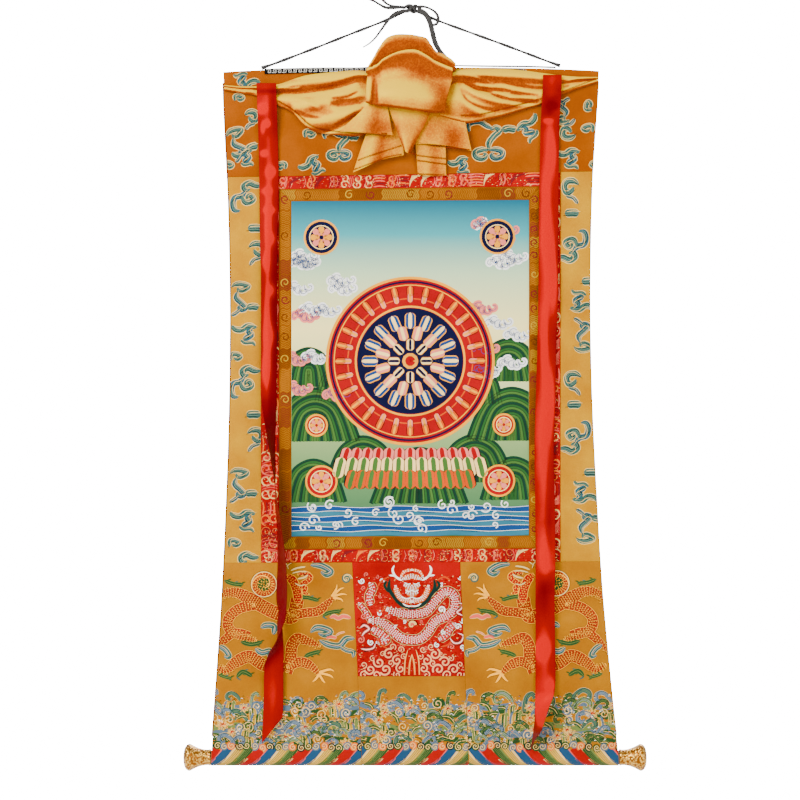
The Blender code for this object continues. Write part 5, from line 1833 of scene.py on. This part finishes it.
def waveStrokes(left, right, way, seed):
    # Rolling waves, rocks, leaves and peonies above the slanting stripes
    chance = random.Random(seed)
    strokes = []
    width = right - left

    def add(points, wide, toneName, lift, ends="both"):
        strokes.append(smoothStroke(points, wide, tonesOf[toneName], lift, ends))

    for row, z in enumerate((-862, -871, -880, -889, -898, -907, -915)):
        count = int(width / (17 if row else 24))
        for column in range(count + 1):
            x = left + (column + 0.5 * (row % 2)) * width / count + chance.uniform(-4, 4)
            high = z + chance.uniform(-4, 4)
            size = chance.uniform(0.7, 1.05)
            lift = 0.12 + 0.02 * row + 0.002 * column
            flip = chance.choice((1, -1))
            kinds = ("crest", "hook") if row == 0 else ("crest", "crest", "swirl", "rock", "leaf", "peony")
            kind = chance.choice(kinds)
            if kind in ("crest", "hook"):
                curve = [(-14, -9), (-9, 0), (0, 6), (8, 3), (8, -4), (2, -5), (1, -1)]
                if kind == "hook":
                    curve = [(-4, -16), (-3, -4), (0, 6), (6, 9), (9, 5), (6, 3)]
                body = placeFigure([(curve,)], x, high, size, 0, flip)[0][0]
                toneName = chance.choice(("greyBlue", "greyBlue", "paleGreen", "teal", "green"))
                add(body, 6.9 * size, "cream", lift)
                add(body, 6.2 * size, toneName, lift + 0.03)
                add(body, 2.2 * size, "paleGreen" if toneName in ("green", "teal") else "paleBlue", lift + 0.05)
                add(body, 1.2 * size, toneName, lift + 0.06)
                add(np.array(body) + (1.4, 1.8), 0.5, "darkTeal", lift + 0.07)
            elif kind == "swirl":
                toneName = chance.choice(("green", "greyBlue", "goldSatinThread"))
                add(spiralPoints(x, high, 7.4 * size, 1.7, chance.uniform(0, 360), flip), 4.2 * size, toneName, lift + 0.02, "none")
                add(spiralPoints(x, high, 7.0 * size, 1.8, chance.uniform(0, 360), flip), 1.0, "cream", lift + 0.05, "none")
            elif kind == "peony":
                for ring, petals in ((6.2, 8), (3.4, 5)):
                    for petal in range(petals):
                        angle = petal * 2 * math.pi / petals + ring
                        spot = (x + ring * size * math.cos(angle), high + 0.86 * ring * size * math.sin(angle))
                        curl = spiralPoints(*spot, 2.3 * size, 1.1, petal * 50)
                        add(curl, 2.8 * size, "yellow" if ring > 4 else "peach", lift + 0.03 + 0.002 * petal, "blunt")
                        add(curl, 0.7, "cream", lift + 0.08, "none")
                add(spiralPoints(x, high, 2.0, 1.2), 1.4, "red", lift + 0.11, "none")
            elif kind == "leaf":
                body = placeFigure([([(-9, -3), (0, 2), (10, 0)],)], x, high, size, chance.uniform(-50, 50), flip)[0][0]
                add(body, 6.0 * size, "paleGreen", lift)
                add(body, 4.8 * size, "green", lift + 0.03)
                add(body, 0.7, "cream", lift + 0.05)
            else:
                for step in range(4):
                    curve = [(-7 + 4 * step, -10), (-6 + 4 * step, 2 + 2 * step), (-3 + 4 * step, 9 - 2 * step)]
                    body = placeFigure([(curve,)], x, high, size, 0, flip)[0][0]
                    toneName = ("greyBlue", "yellow", "green", "paleGreen")[step]
                    add(body, 4.0 * size, "cream", lift + 0.004 * step)
                    add(body, 3.0 * size, toneName, lift + 0.03 + 0.004 * step)
    for column in range(int(width / 9.5) + 1):
        x = left + column * 9.5 + chance.uniform(-1, 1)
        z = -921.5 + chance.uniform(-2, 1.5)
        toneName = ("darkTeal", "green", "greyBlue", "peach")[column % 4]
        add(spiralPoints(x, z, 4.8, 1.5, 40 * column, way), 3.6, toneName, 0.46, "none")
        add(spiralPoints(x, z, 4.2, 1.6, 40 * column, way), 0.9, "cream", 0.52, "none")
    for column in range(int(width * 3.2)):
        x = left + chance.uniform(0, width)
        z = chance.uniform(-922, -858)
        toneName = chance.choice(("goldThread", "cream", "white", "peach", "green", "darkTeal", "greyBlue", "brown"))
        dash = [(x - 1.3, z), (x, z + chance.uniform(0.3, 1.4)), (x + 1.3, z + chance.uniform(-1, 1))]
        strokes.append((dash, (0.3, 0.8, 0.3), tonesOf[toneName], 0.36))
    return strokes


def stripeStrokes(left, right, way, start):
    strokes = []
    top, foot, pitch = waves["stripeTop"], waves["stripeFoot"], waves["stripePitch"]
    for repeat in range(-12, 14):
        for number, (toneName, offset, width) in enumerate(waves["stripes"]):
            x = start + way * (repeat * pitch + offset)
            if left - 45 < x < right + 45:
                line = [(x - way * 22, foot), (x - way * 9, foot + 9), (x, foot + 18), (x + way * 8, top)]
                strokes.append(smoothStroke(line, width * 0.8, tonesOf[toneName], 0.4 + 0.004 * number, "none"))
                if toneName in ("yellow", "green"):
                    for share in (0.25, 0.5, 0.75):
                        shifted = np.array(line, float) + (way * (share - 0.5) * width * 0.8, 0)
                        strokes.append(smoothStroke(shifted, 0.45, tonesOf["cream" if toneName == "yellow" else "paleGreen"], 0.46, "none"))
    return strokes


def makeDragonBrocade():
    drawn = dragonStrokes()
    foot = mount["rollerZ"] - 14.0
    seamL, seamR = mount["seamLeft"], mount["seamRight"]
    groundTop = -846.0
    panels = {
        "left": (drawn, leftEdge, seamAt(seamL, -1), mount["redFrame"]["bottom"], (-252.0, -62.0), 1, -251.0, 5),
        "centre": ([], seamAt(seamL, 1), seamAt(seamR, -1), mount["doorBottom"], (-64.0, 74.0), 1, -251.0, 8),
        "right": (mirrored(drawn, dragon["mirror"]), seamAt(seamR, 1), rightEdge, mount["redFrame"]["bottom"], (70.0, 262.0), -1, 268.0, 12),
    }
    for side, (strokes, left, right, top, (low, high), way, start, seed) in panels.items():
        ground = []
        for row in range(9):
            z = groundTop - 8 - 8.6 * row
            toneName = ("goldSatinThread", "paleGreen", "greyBlue", "green")[row % 4]
            wobble = [(low + (high - low) * k / 8, z + 3 * math.sin(k * 2.1 + row)) for k in range(9)]
            if row > 1:
                ground.append(smoothStroke(wobble, 7.0, tonesOf[toneName], 0.08, "none", 4.0))
        strokes = strokes + ground + waveStrokes(low, high, way, seed) + stripeStrokes(low, high, way, start)
        edges = (left, right, foot, top)
        figurePiece(f"lower_panel_{side}_figures", strokes, dragonPalette, edges, onLower)


# The red square's dragon, drawn on its own grid of 0.113 mm and mirrored where it is even
door = {
    "origin": (-76.2, -686.2),
    "unit": 0.1132,
    "axis": 683,
    "body": [
        ([(400, 560), (520, 600), (690, 620), (840, 590), (940, 480), (1060, 370), (1150, 420), (1140, 580), (1040, 650), (940, 700), (860, 820), (780, 890), (680, 905), (560, 880), (440, 780), (330, 700), (220, 690)], 92),
        ([(230, 520), (210, 420), (250, 330), (220, 280)], 74),
        ([(240, 780), (330, 830), (400, 900), (300, 930)], 84),
        ([(980, 900), (1060, 850), (1100, 780), (1160, 730)], 80),
        ([(230, 700), (190, 620), (150, 560), (100, 500)], 46),
    ],
    "head": [
        ([(690, 130), (600, 150), (560, 210)], 34),
        ([(600, 230), (690, 200), (780, 230)], 60),
        ([(500, 300), (520, 380), (570, 450), (690, 480)], 60),
        ([(620, 300), (690, 330), (760, 300)], 70),
        ([(640, 380), (690, 400), (740, 380)], 60),
    ],
    "horn": [([(575, 250), (500, 200), (470, 130), (490, 80)], 22), ([(520, 215), (480, 195), (430, 190)], 16)],
    "mane": [
        ([(440, 230), (430, 330), (480, 420), (560, 510), (690, 560)], 34),
        ([(410, 250), (380, 300), (430, 380)], 22),
    ],
    "face": [
        ([(600, 270), (640, 290), (670, 280)], 10),
        ([(560, 420), (620, 450), (690, 430)], 12),
        ([(610, 350), (650, 370), (690, 350)], 14),
        ([(580, 500), (630, 530), (690, 530)], 14),
    ],
    "pearl": (683, 738, 62),
    "rock": [([(600, 1290), (610, 1120), (640, 1010)], 20), ([(650, 1290), (660, 1160), (683, 1060)], 24)],
    "foam": [
        (430, 1060, 62), (520, 1130, 58), (555, 1220, 52), (520, 1290, 44), (320, 1150, 62), (220, 1230, 60),
        (390, 1230, 66), (290, 1290, 54), (150, 1180, 40), (450, 1160, 40), (470, 980, 40), (560, 1010, 38),
        (360, 1060, 34), (150, 1290, 46), (590, 1090, 34), (250, 1110, 34),
    ],
    "curls": [
        (150, 640, 34), (330, 610, 30), (420, 650, 26), (1250, 690, 34), (1100, 700, 26), (1190, 760, 34),
        (120, 900, 40), (230, 930, 34), (1120, 980, 38), (1240, 990, 34), (330, 420, 24), (1010, 300, 24),
        (1240, 330, 34), (1220, 220, 26), (150, 330, 26), (350, 250, 26), (560, 980, 26), (960, 960, 30),
        (840, 1000, 24), (600, 700, 22), (790, 700, 22), (500, 760, 20), (300, 210, 22), (130, 250, 34),
        (180, 180, 26), (1010, 570, 40), (320, 840, 26), (1030, 820, 26), (210, 470, 22),
    ],
    "cloud": [
        ([(110, 770), (160, 740), (210, 780), (160, 820), (130, 860)], 30),
        ([(120, 1000), (190, 1010), (260, 990), (280, 940)], 26),
        ([(1100, 880), (1150, 940), (1220, 930), (1250, 860), (1190, 830)], 26),
        ([(1190, 500), (1240, 510), (1230, 560), (1180, 600), (1250, 640)], 24),
    ],
    "flames": [
        ([(300, 330), (340, 260), (420, 210)], 18),
        ([(290, 560), (330, 600), (380, 560)], 18),
        ([(960, 250), (1040, 210), (1110, 250)], 20),
        ([(1000, 980), (1080, 960), (1130, 900)], 18),
        ([(300, 880), (350, 960), (420, 1000)], 18),
    ],
}


def makeDoorFigures():
    palette = [
        "pink", "cream", "white", "orangeThread", "darkTeal", "goldThread", "redDark", "green", "red", "peach", "rose",
    ]
    number = {name: index for index, name in enumerate(palette)}
    origin, unit = door["origin"], door["unit"]
    strokes = []

    def even(points):
        return [points, [(2 * door["axis"] - x, y) for x, y in points]]

    for index, (points, width) in enumerate(door["body"]):
        line = drawnOn(points, origin, unit)
        lift = 0.1 + 0.012 * index
        strokes.append(smoothStroke(line, width * unit + 3.4, number["cream"], lift, "blunt"))
        strokes.append(smoothStroke(line, width * unit + 2.4, number["redDark"], lift + 0.02, "blunt"))
        strokes.append(smoothStroke(line, width * unit, number["rose"], lift + 0.04, "blunt"))
        strokes += scaleStrokes(np.array(line), width * unit + 1.6, 2.7, number["white"], lift + 0.1)
        strokes += scaleStrokes(np.array(line) + (0.6, -0.7), width * unit, 2.7, number["redDark"], lift + 0.08)
    for kind, body, rim, height, thick in (
        ("mane", "darkTeal", "green", 0.22, 0.9), ("head", "peach", "red", 0.26, 1.0), ("horn", "white", "pink", 0.34, 0.8)
    ):
        for points, width in door[kind]:
            for side in even(points):
                line = drawnOn(side, origin, unit)
                strokes += threadedStroke(line, width * unit, (number[rim], number[body]), height, "both", thick)
                if kind == "head":
                    strokes += scaleStrokes(np.array(line), width * unit, 2.2, number["white"], height + 0.12)
                    strokes += scaleStrokes(np.array(line) + (0.4, -0.6), width * unit, 2.2, number["red"], height + 0.1)
    for points, width in door["face"]:
        for side in even(points):
            strokes += threadedStroke(drawnOn(side, origin, unit), width * unit, (number["redDark"], number["white"]), 0.42, "both", 0.8)
    x, z = drawnOn([door["pearl"][:2]], origin, unit)[0]
    for radius, wide, toneName, lift in ((7.0, 2.2, "redDark", 0.3), (4.6, 3.4, "cream", 0.32), (1.8, 3.0, "pink", 0.34)):
        strokes.append(smoothStroke(spiralPoints(x, z, radius, 1.1), wide, number[toneName], lift, "none"))
    for points, width in door["rock"]:
        for side in even(points):
            strokes += threadedStroke(drawnOn(side, origin, unit), width * unit, (number["redDark"], number["peach"]), 0.2, "last", 1.0)
            strokes.append(smoothStroke(drawnOn(side, origin, unit), 0.7, number["cream"], 0.34))
    for index, (fx, fy, radius) in enumerate(door["foam"]):
        for side in even([(fx, fy)]):
            x, z = drawnOn(side, origin, unit)[0]
            way = 1 if side[0][0] < door["axis"] else -1
            ring = spiralPoints(x, z, radius * unit, 1.5, 60 + 25 * index, way)
            strokes.append(smoothStroke(ring, radius * unit * 0.62, number["redDark"], 0.2 + 0.002 * index, "none"))
            strokes.append(smoothStroke(ring, radius * unit * 0.42, number["pink"], 0.24 + 0.002 * index, "none"))
            strokes.append(smoothStroke(ring, radius * unit * 0.16, number["cream"], 0.28 + 0.002 * index, "none"))
    for index, (cx, cy, radius) in enumerate(door["curls"]):
        x, z = drawnOn([(cx, cy)], origin, unit)[0]
        ring = spiralPoints(x, z, radius * unit, 1.6, 70 * index, 1 if index % 2 else -1)
        strokes.append(smoothStroke(ring, radius * unit * 0.6, number["redDark" if index % 3 else "darkTeal"], 0.18, "none"))
        strokes.append(smoothStroke(ring, radius * unit * 0.4, number["white" if index % 2 else "pink"], 0.2, "none"))
    for points, width in door["cloud"]:
        line = drawnOn(points, origin, unit)
        strokes += threadedStroke(line, width * unit, (number["darkTeal"], number["pink"]), 0.24, "both", 2.2)
        strokes.append(smoothStroke(line, 0.8, number["white"], 0.38))
    for points, width in door["flames"]:
        strokes += threadedStroke(drawnOn(points, origin, unit), width * unit, (number["red"], number["orangeThread"]), 0.2, "both", 0.8)
    chance = random.Random(3)
    for index in range(1500):
        x, z = chance.uniform(-68, 66), chance.uniform(-832, -708)
        toneName = chance.choice(("orangeThread", "redDark", "pink", "cream", "redDark"))
        dash = [(x - 1.0, z), (x, z + chance.uniform(-0.8, 0.8)), (x + 1.0, z)]
        strokes.append((dash, (0.3, 0.7, 0.3), number[toneName], 0.09))
    left, right = seamAt(mount["seamLeft"], 1), seamAt(mount["seamRight"], -1)
    edges = (left, right, mount["doorBottom"], mount["redFrame"]["bottom"])
    figurePiece("door_figures", strokes, palette, edges)


# Figures of the two narrow frames
def frameFigures(kind, inner, outer, palette, maker):
    sides = {
        "top": (outer["left"], outer["right"], inner["top"], outer["top"]),
        "bottom": (outer["left"], outer["right"], outer["bottom"], inner["bottom"]),
        "left": (outer["left"], inner["left"], outer["bottom"], outer["top"]),
        "right": (inner["right"], outer["right"], outer["bottom"], outer["top"]),
    }
    for number, (side, (low, high, bottom, top)) in enumerate(sides.items()):
        level = side in ("top", "bottom")
        chance = random.Random(number + 11)
        strokes = maker(low, high, bottom, top, level, chance)
        corner = (inner, outer)

        def left(z, low=low, side=side, corner=corner):
            return mitreEdge(z, low, side, "left", corner)

        def right(z, high=high, side=side, corner=corner):
            return mitreEdge(z, high, side, "right", corner)

        figurePiece(f"{kind}_strip_{side}_figures", strokes, palette, (left, right, bottom, top))


def mitreEdge(z, edge, side, end, corner):
    # Level strips end at their corner seams, upright ones fill their own width between them
    inner, outer = corner
    if side in ("top", "bottom"):
        share = np.clip((z - inner[side]) / (outer[side] - inner[side]), 0, 1)
        return inner[end] + (outer[end] - inner[end]) * share
    upper = np.clip((z - inner["top"]) / (outer["top"] - inner["top"]), 0, 1)
    lower = np.clip((z - inner["bottom"]) / (outer["bottom"] - inner["bottom"]), 0, 1)
    share = np.maximum(upper, lower)
    if side != end:
        return inner[side] + (outer[side] - inner[side]) * share
    return edge + 0 * z


def redScrolls(low, high, bottom, top, level, chance):
    strokes = []
    length, width = (high - low, top - bottom) if level else (top - bottom, high - low)
    along = 0.0
    while along < length:
        step = chance.uniform(16, 26)
        middle = width / 2
        kind = chance.choice(("feather", "scroll", "scroll", "patch"))
        toneNumber = chance.choice((0, 1, 1, 2, 3))
        parts = []
        if kind == "feather":
            for row in range(9):
                reach = step * (0.3 + 0.08 * row)
                parts.append(([(along + 2, 1 + row), (along + reach * 0.6, middle + row * 0.6), (along + reach, width - 1)], 1.0, toneNumber))
        elif kind == "scroll":
            for way, offset in ((1, 0.28), (-1, 0.72)):
                ring = spiralPoints(along + step / 2, width * offset, width * 0.34, 1.5, chance.uniform(0, 360), way)
                parts.append((ring, 1.5, toneNumber))
                parts.append((ring + (1.0, 0.8), 0.7, 3))
            for row in range(5):
                x = along + chance.uniform(0, step)
                parts.append(([(x, 1), (x + 3, middle), (x + 1, width - 1)], 0.8, chance.choice((0, 2))))
        else:
            for row in range(5):
                z = width * (row + 0.5) / 5
                parts.append(([(along, z), (along + step / 2, z + 1.0), (along + step * 0.9, z)], 1.7, chance.choice((0, 2, 3))))
        for points, wide, toneIndex in parts:
            spots = np.array(points, float)
            spots = spots if level else spots[:, ::-1]
            strokes.append(smoothStroke(spots + (low, bottom), wide, toneIndex, 0.14 + 0.002 * len(strokes) % 0.06, "both"))
        along += step * 0.8
    for index in range(int(length * 1.2)):
        spot = np.array([chance.uniform(0, length), chance.uniform(0.6, width - 0.6)])
        dash = np.array([spot - (0.8, 0.2), spot, spot + (0.8, 0.3)])
        dash = dash if level else dash[:, ::-1]
        strokes.append((dash + (low, bottom), (0.3, 0.7, 0.3), chance.choice((0, 1, 2, 3)), 0.22))
    return strokes


def goldScrolls(low, high, bottom, top, level, chance):
    strokes = []
    length, width = (high - low, top - bottom) if level else (top - bottom, high - low)
    along = 0.0
    while along < length:
        step = chance.uniform(14, 30)
        toneNumber = chance.choice((0, 1, 2, 2, 3))
        for row in range(int(step / 2.2)):
            x = along + row * 2.2
            curve = [(x, 0.8), (x + 2.5, width * 0.35), (x + 0.5, width * 0.65), (x + 3.5, width - 0.8)]
            spots = np.array(curve, float)
            spots = spots if level else spots[:, ::-1]
            strokes.append(smoothStroke(spots + (low, bottom), 0.8, toneNumber, 0.12))
        if chance.random() < 0.6:
            ring = spiralPoints(along + step / 2, width / 2, width * 0.38, 1.6, chance.uniform(0, 360))
            ring = ring if level else ring[:, ::-1]
            strokes.append(smoothStroke(ring + (low, bottom), 1.4, chance.choice((0, 1, 3)), 0.16))
        along += step
    return strokes


def makeFrameFigures():
    frameFigures("red", mount["goldFrame"], mount["redFrame"], ["pink", "cream", "violetRed", "peach"], redScrolls)
    frameFigures("gold", mount["canvas"], mount["goldFrame"], ["brownGold", "violetRed", "goldSatinThread", "yellow"], goldScrolls)


# The painting: a made-up design of like tones and scale, a round flower wheel on a lotus throne
painting = {
    "middle": (-1.0, -440.0),
    "halo": 104.0,
    "wheel": 66.0,
    "sky": 14,
    "petals": 28,
    "hills": [
        (-128, -452, 34), (-92, -470, 28), (122, -446, 40), (88, -474, 26), (-120, -520, 56), (126, -520, 56),
        (-60, -572, 46), (10, -598, 60), (80, -572, 48), (-122, -596, 40), (128, -594, 40),
    ],
}


def ringPoints(x, z, radius, count=64):
    angle = np.linspace(0, 2 * math.pi, count + 1)
    return np.stack([x + radius * np.cos(angle), z + radius * np.sin(angle)], axis=1)


def makePainting():
    palette = [
        "paintSky", "paintSkyLow", "paintHill", "paintHillDark", "paintCloud", "paintRed", "paintNavy", "paintGold",
        "paintPink", "paintCream", "paintOrange", "paintBlue", "paintWater", "paintGreen", "paintLine",
    ]
    number = {name: index for index, name in enumerate(palette)}
    canvas = mount["canvas"]
    low, high, bottom, top = canvas["left"], canvas["right"], canvas["bottom"], canvas["top"]
    x0, z0 = painting["middle"]
    strokes = []

    def fillDisc(x, z, radius, toneName, lift):
        rings = max(1, int(radius / 3.2))
        for ring in range(rings):
            reach = radius * (ring + 0.5) / rings
            line = ringPoints(x, z, reach, max(10, int(reach * 1.2)))
            strokes.append((line, np.full(len(line), radius / rings * 1.12), number[toneName], lift + 0.0004 * ring))

    def band(z, tone, width, lift=0.02, wave=0.0, phase=0.0):
        line = [(low + (high - low) * k / 12, z + wave * math.sin(k * 1.7 + phase)) for k in range(13)]
        strokes.append(smoothStroke(line, width, number[tone], lift, "none", 5.0))

    for row in range(6):
        band(bottom + 4 + 6.0 * row, ("paintWater", "paintBlue")[row % 2], 7.4, 0.024, 1.2, row)
        band(bottom + 7 + 6.0 * row, "paintCloud", 0.5, 0.04, 1.2, row)
    chance = random.Random(21)
    for x, z, radius in painting["hills"]:
        for row in range(int(radius / 4) + 1):
            reach = max(radius - row * 4.0, 2.0)
            arc = [(x - reach, z - 20), (x - reach * 0.6, z + reach * 0.5), (x, z + reach * 0.8), (x + reach * 0.6, z + reach * 0.5), (x + reach, z - 20)]
            toneName = ("paintHillDark", "paintHill", "paintGreen")[row % 3]
            strokes.append(smoothStroke(arc, 5.6, number[toneName], 0.03 + 0.001 * row, "none", 4.0))
            strokes.append(smoothStroke(arc, 0.5, number["paintLine"], 0.05 + 0.001 * row, "none", 4.0))
    for index in range(26):
        side = -1 if index % 2 else 1
        x = x0 + side * chance.uniform(84, 142)
        z = chance.uniform(-262, -500)
        for puff in range(5):
            ring = spiralPoints(x + (puff - 2) * 6.5, z + 3 * math.sin(puff * 1.9), 6.4, 1.1, 40 * puff)
            strokes.append(smoothStroke(ring, 5.6, number["paintCloud" if index % 3 else "paintPink"], 0.06, "blunt"))
            strokes.append(smoothStroke(ring, 0.6, number["paintBlue"], 0.1, "none"))
    halo, wheel = painting["halo"], painting["wheel"]
    fillDisc(x0, z0, halo, "paintRed", 0.07)
    for radius, wide, toneName in ((halo, 3.4, "paintGold"), (halo - 5, 2.2, "paintNavy"), (halo - 9, 1.4, "paintGold"), (halo - 26, 1.6, "paintOrange"), (wheel + 2, 2.6, "paintGold")):
        strokes.append((ringPoints(x0, z0, radius, 96), np.full(97, wide), number[toneName], 0.12))
    for petal in range(painting["petals"]):
        angle = petal * 2 * math.pi / painting["petals"]
        for reach, size, toneName in ((halo - 17, 7.0, "paintOrange"), (wheel + 13, 6.0, "paintPink")):
            spot = (x0 + reach * math.cos(angle), z0 + reach * math.sin(angle))
            way = (math.cos(angle), math.sin(angle))
            line = [(spot[0] - way[0] * size, spot[1] - way[1] * size), spot, (spot[0] + way[0] * size, spot[1] + way[1] * size)]
            strokes.append(smoothStroke(line, size * 1.3, number["paintLine"], 0.13))
            strokes.append(smoothStroke(line, size * 1.05, number[toneName], 0.14))
            strokes.append(smoothStroke(line, size * 0.4, number["paintGold"], 0.15))
    fillDisc(x0, z0, wheel, "paintNavy", 0.16)
    for ring, (reach, size, toneName, count) in enumerate(((50, 9.0, "paintBlue", 16), (35, 8.0, "paintPink", 12), (20, 6.5, "paintCream", 8))):
        for petal in range(count):
            angle = (petal + 0.5 * (ring % 2)) * 2 * math.pi / count
            way = np.array((math.cos(angle), math.sin(angle)))
            spot = np.array((x0, z0)) + way * reach
            line = [spot - way * size * 1.1, spot + way * size * 0.1, spot + way * size * 1.2]
            strokes.append(smoothStroke(line, size * 1.5, number["paintGold"], 0.2 + 0.02 * ring))
            strokes.append(smoothStroke(line, size * 1.22, number[toneName], 0.21 + 0.02 * ring))
            strokes.append(smoothStroke(line, size * 0.5, number["paintNavy" if ring == 2 else "paintCream"], 0.22 + 0.02 * ring))
    fillDisc(x0, z0, 10.0, "paintGold", 0.28)
    fillDisc(x0, z0, 6.0, "paintRed", 0.3)
    for row, (z, reach, size) in enumerate(((-560, 84, 12), (-573, 92, 13), (-588, 76, 12))):
        count = 13
        for petal in range(count):
            share = (petal + 0.5) / count * 2 - 1
            x = x0 + share * reach
            line = [(x, z + size), (x + share * 4, z), (x + share * 7, z - size)]
            strokes.append(smoothStroke(line, size * 1.25, number["paintLine"], 0.2 + 0.03 * row))
            strokes.append(smoothStroke(line, size * 1.05, number[("paintPink", "paintCream", "paintOrange")[row]], 0.21 + 0.03 * row))
            strokes.append(smoothStroke(line, size * 0.45, number["paintRed" if row == 0 else "paintGreen"], 0.22 + 0.03 * row))
    for x, z, radius in ((-112, -285, 21), (108, -285, 21), (-112, -590, 19), (110, -590, 19), (-118, -520, 13), (116, -520, 13)):
        fillDisc(x, z, radius, "paintNavy" if radius > 20 else "paintRed", 0.2)
        for reach, wide, toneName in ((radius, 2.4, "paintGold"), (radius * 0.7, 1.2, "paintCream")):
            strokes.append((ringPoints(x, z, reach, 40), np.full(41, wide), number[toneName], 0.24))
        for petal in range(8):
            angle = petal * math.pi / 4
            way = np.array((math.cos(angle), math.sin(angle)))
            line = [np.array((x, z)) + way * radius * share for share in (0.12, 0.4, 0.66)]
            strokes.append(smoothStroke(line, radius * 0.34, number["paintPink" if petal % 2 else "paintGold"], 0.25))
    for index in range(30):
        x = chance.uniform(low + 8, high - 8)
        z = chance.uniform(bottom + 8, bottom + 44)
        ring = spiralPoints(x, z, chance.uniform(4, 8), 1.4, chance.uniform(0, 360))
        strokes.append(smoothStroke(ring, 1.6, number["paintCloud"], 0.1, "none"))
    edges = (lambda z: low + 0 * z, lambda z: high + 0 * z, bottom, top)
    figurePiece("painting_design", strokes, palette, edges)


# Key fret woven in white along the flat top tape
def onTape(x, z, height):
    line = smoothLine(hangingBand["tape"], 400)
    y, middle, tilt = (np.interp(x, line[:, 0], line[:, axis]) for axis in (1, 2, 3))
    angle = np.radians(tilt)
    reach = hangingBand["thickness"] / 2 + height
    depth = y + z * np.sin(angle) - reach * np.cos(angle)
    return np.stack([x, depth, middle + z * np.cos(angle) + reach * np.sin(angle)], axis=-1)


def makeKeyFret():
    strokes = []
    step = 6.4
    for number in range(56):
        x = -180 + step * number
        way = 1 if number % 2 else -1
        key = [(x, -1.9 * way), (x + 4.8, -1.9 * way), (x + 4.8, 1.9 * way), (x + 1.6, 1.9 * way), (x + 1.6, -0.2 * way), (x + 3.2, -0.2 * way)]
        for first, second in zip(key, key[1:]):
            strokes.append(([first, second], (0.55, 0.55), 0, 0.12))
    edges = (lambda z: -182.5 + 0 * z, lambda z: 180.5 + 0 * z, -3.3, 3.3)
    figurePiece("tape_key_fret", strokes, ["greyWhite"], edges, onTape)


# Overlock stitches along the silk's hems, laid where the hem is seen
hems = {
    "swag_left": [(-166, -116), (-148, -127), (-136, -137.5), (-126, -146.5), (-112, -151.5), (-80, -156), (-56, -157.5), (-30, -158)],
    "flap_left": [(-72, -202), (-50, -194), (-30, -186), (-12, -183)],
    "flap_left_inner": [(-66, -190), (-46, -183), (-28, -177), (-12, -172)],
    "flap_right": [(8, -169), (34, -172), (60, -176), (73, -178)],
    "centre": [(-8, -188), (14, -191), (44, -195)],
    "centre_inner": [(-4, -182), (16, -185), (44, -188)],
    "tail": [(8, -207), (24, -207.5), (42, -208)],
    "swag_right": [(62, -135), (84, -134), (110, -127.5), (140, -119.5), (170, -111), (200, -100), (231, -88)],
}


def makeStitches(veilPiece):
    graph = bpy.context.evaluated_depsgraph_get()
    tree = BVHTree.FromObject(veilPiece, graph)
    strokes = []
    for hem in hems.values():
        length = np.linalg.norm(np.diff(np.array(hem, float), axis=0), axis=1).sum()
        line = smoothLine(hem, int(length / 0.9))
        ways = np.gradient(line, axis=0)
        ways /= np.linalg.norm(ways, axis=1)[:, None]
        sides = np.stack([-ways[:, 1], ways[:, 0]], axis=1)
        zigzag = line + sides * np.where(np.arange(len(line)) % 2, 1.2, -0.6)[:, None]
        kept = []
        for x, z in zigzag:
            hit = tree.ray_cast(Vector((x * mm, -0.3, z * mm)), Vector((0.0, 1.0, 0.0)), 0.299)[0]
            if hit:
                kept.append((x, hit.y / mm - 0.45, z))
        if len(kept) > 4:
            strokes.append(kept)
    curve = bpy.data.curves.new("stitches", "CURVE")
    curve.dimensions = "3D"
    curve.bevel_depth = 0.5
    curve.bevel_resolution = 0
    for points in strokes:
        spline = curve.splines.new("POLY")
        spline.points.add(len(points) - 1)
        spline.points.foreach_set("co", np.column_stack([points, np.ones(len(points))]).ravel())
    holder = bpy.data.objects.new("stitches", curve)
    bpy.context.scene.collection.objects.link(holder)
    mesh = bpy.data.meshes.new_from_object(holder.evaluated_get(bpy.context.evaluated_depsgraph_get()))
    bpy.data.objects.remove(holder)
    writeSpots(mesh, readSpots(mesh) * mm)
    addPiece("veil_stitches", mesh, [threads["stitch"]])


makeStitches(veilPiece)
makeKeyFret()
makeClouds()
makeDragonBrocade()
makeDoorFigures()
makeFrameFigures()
makePainting()
print("woven and painted figures made")


print("finished")
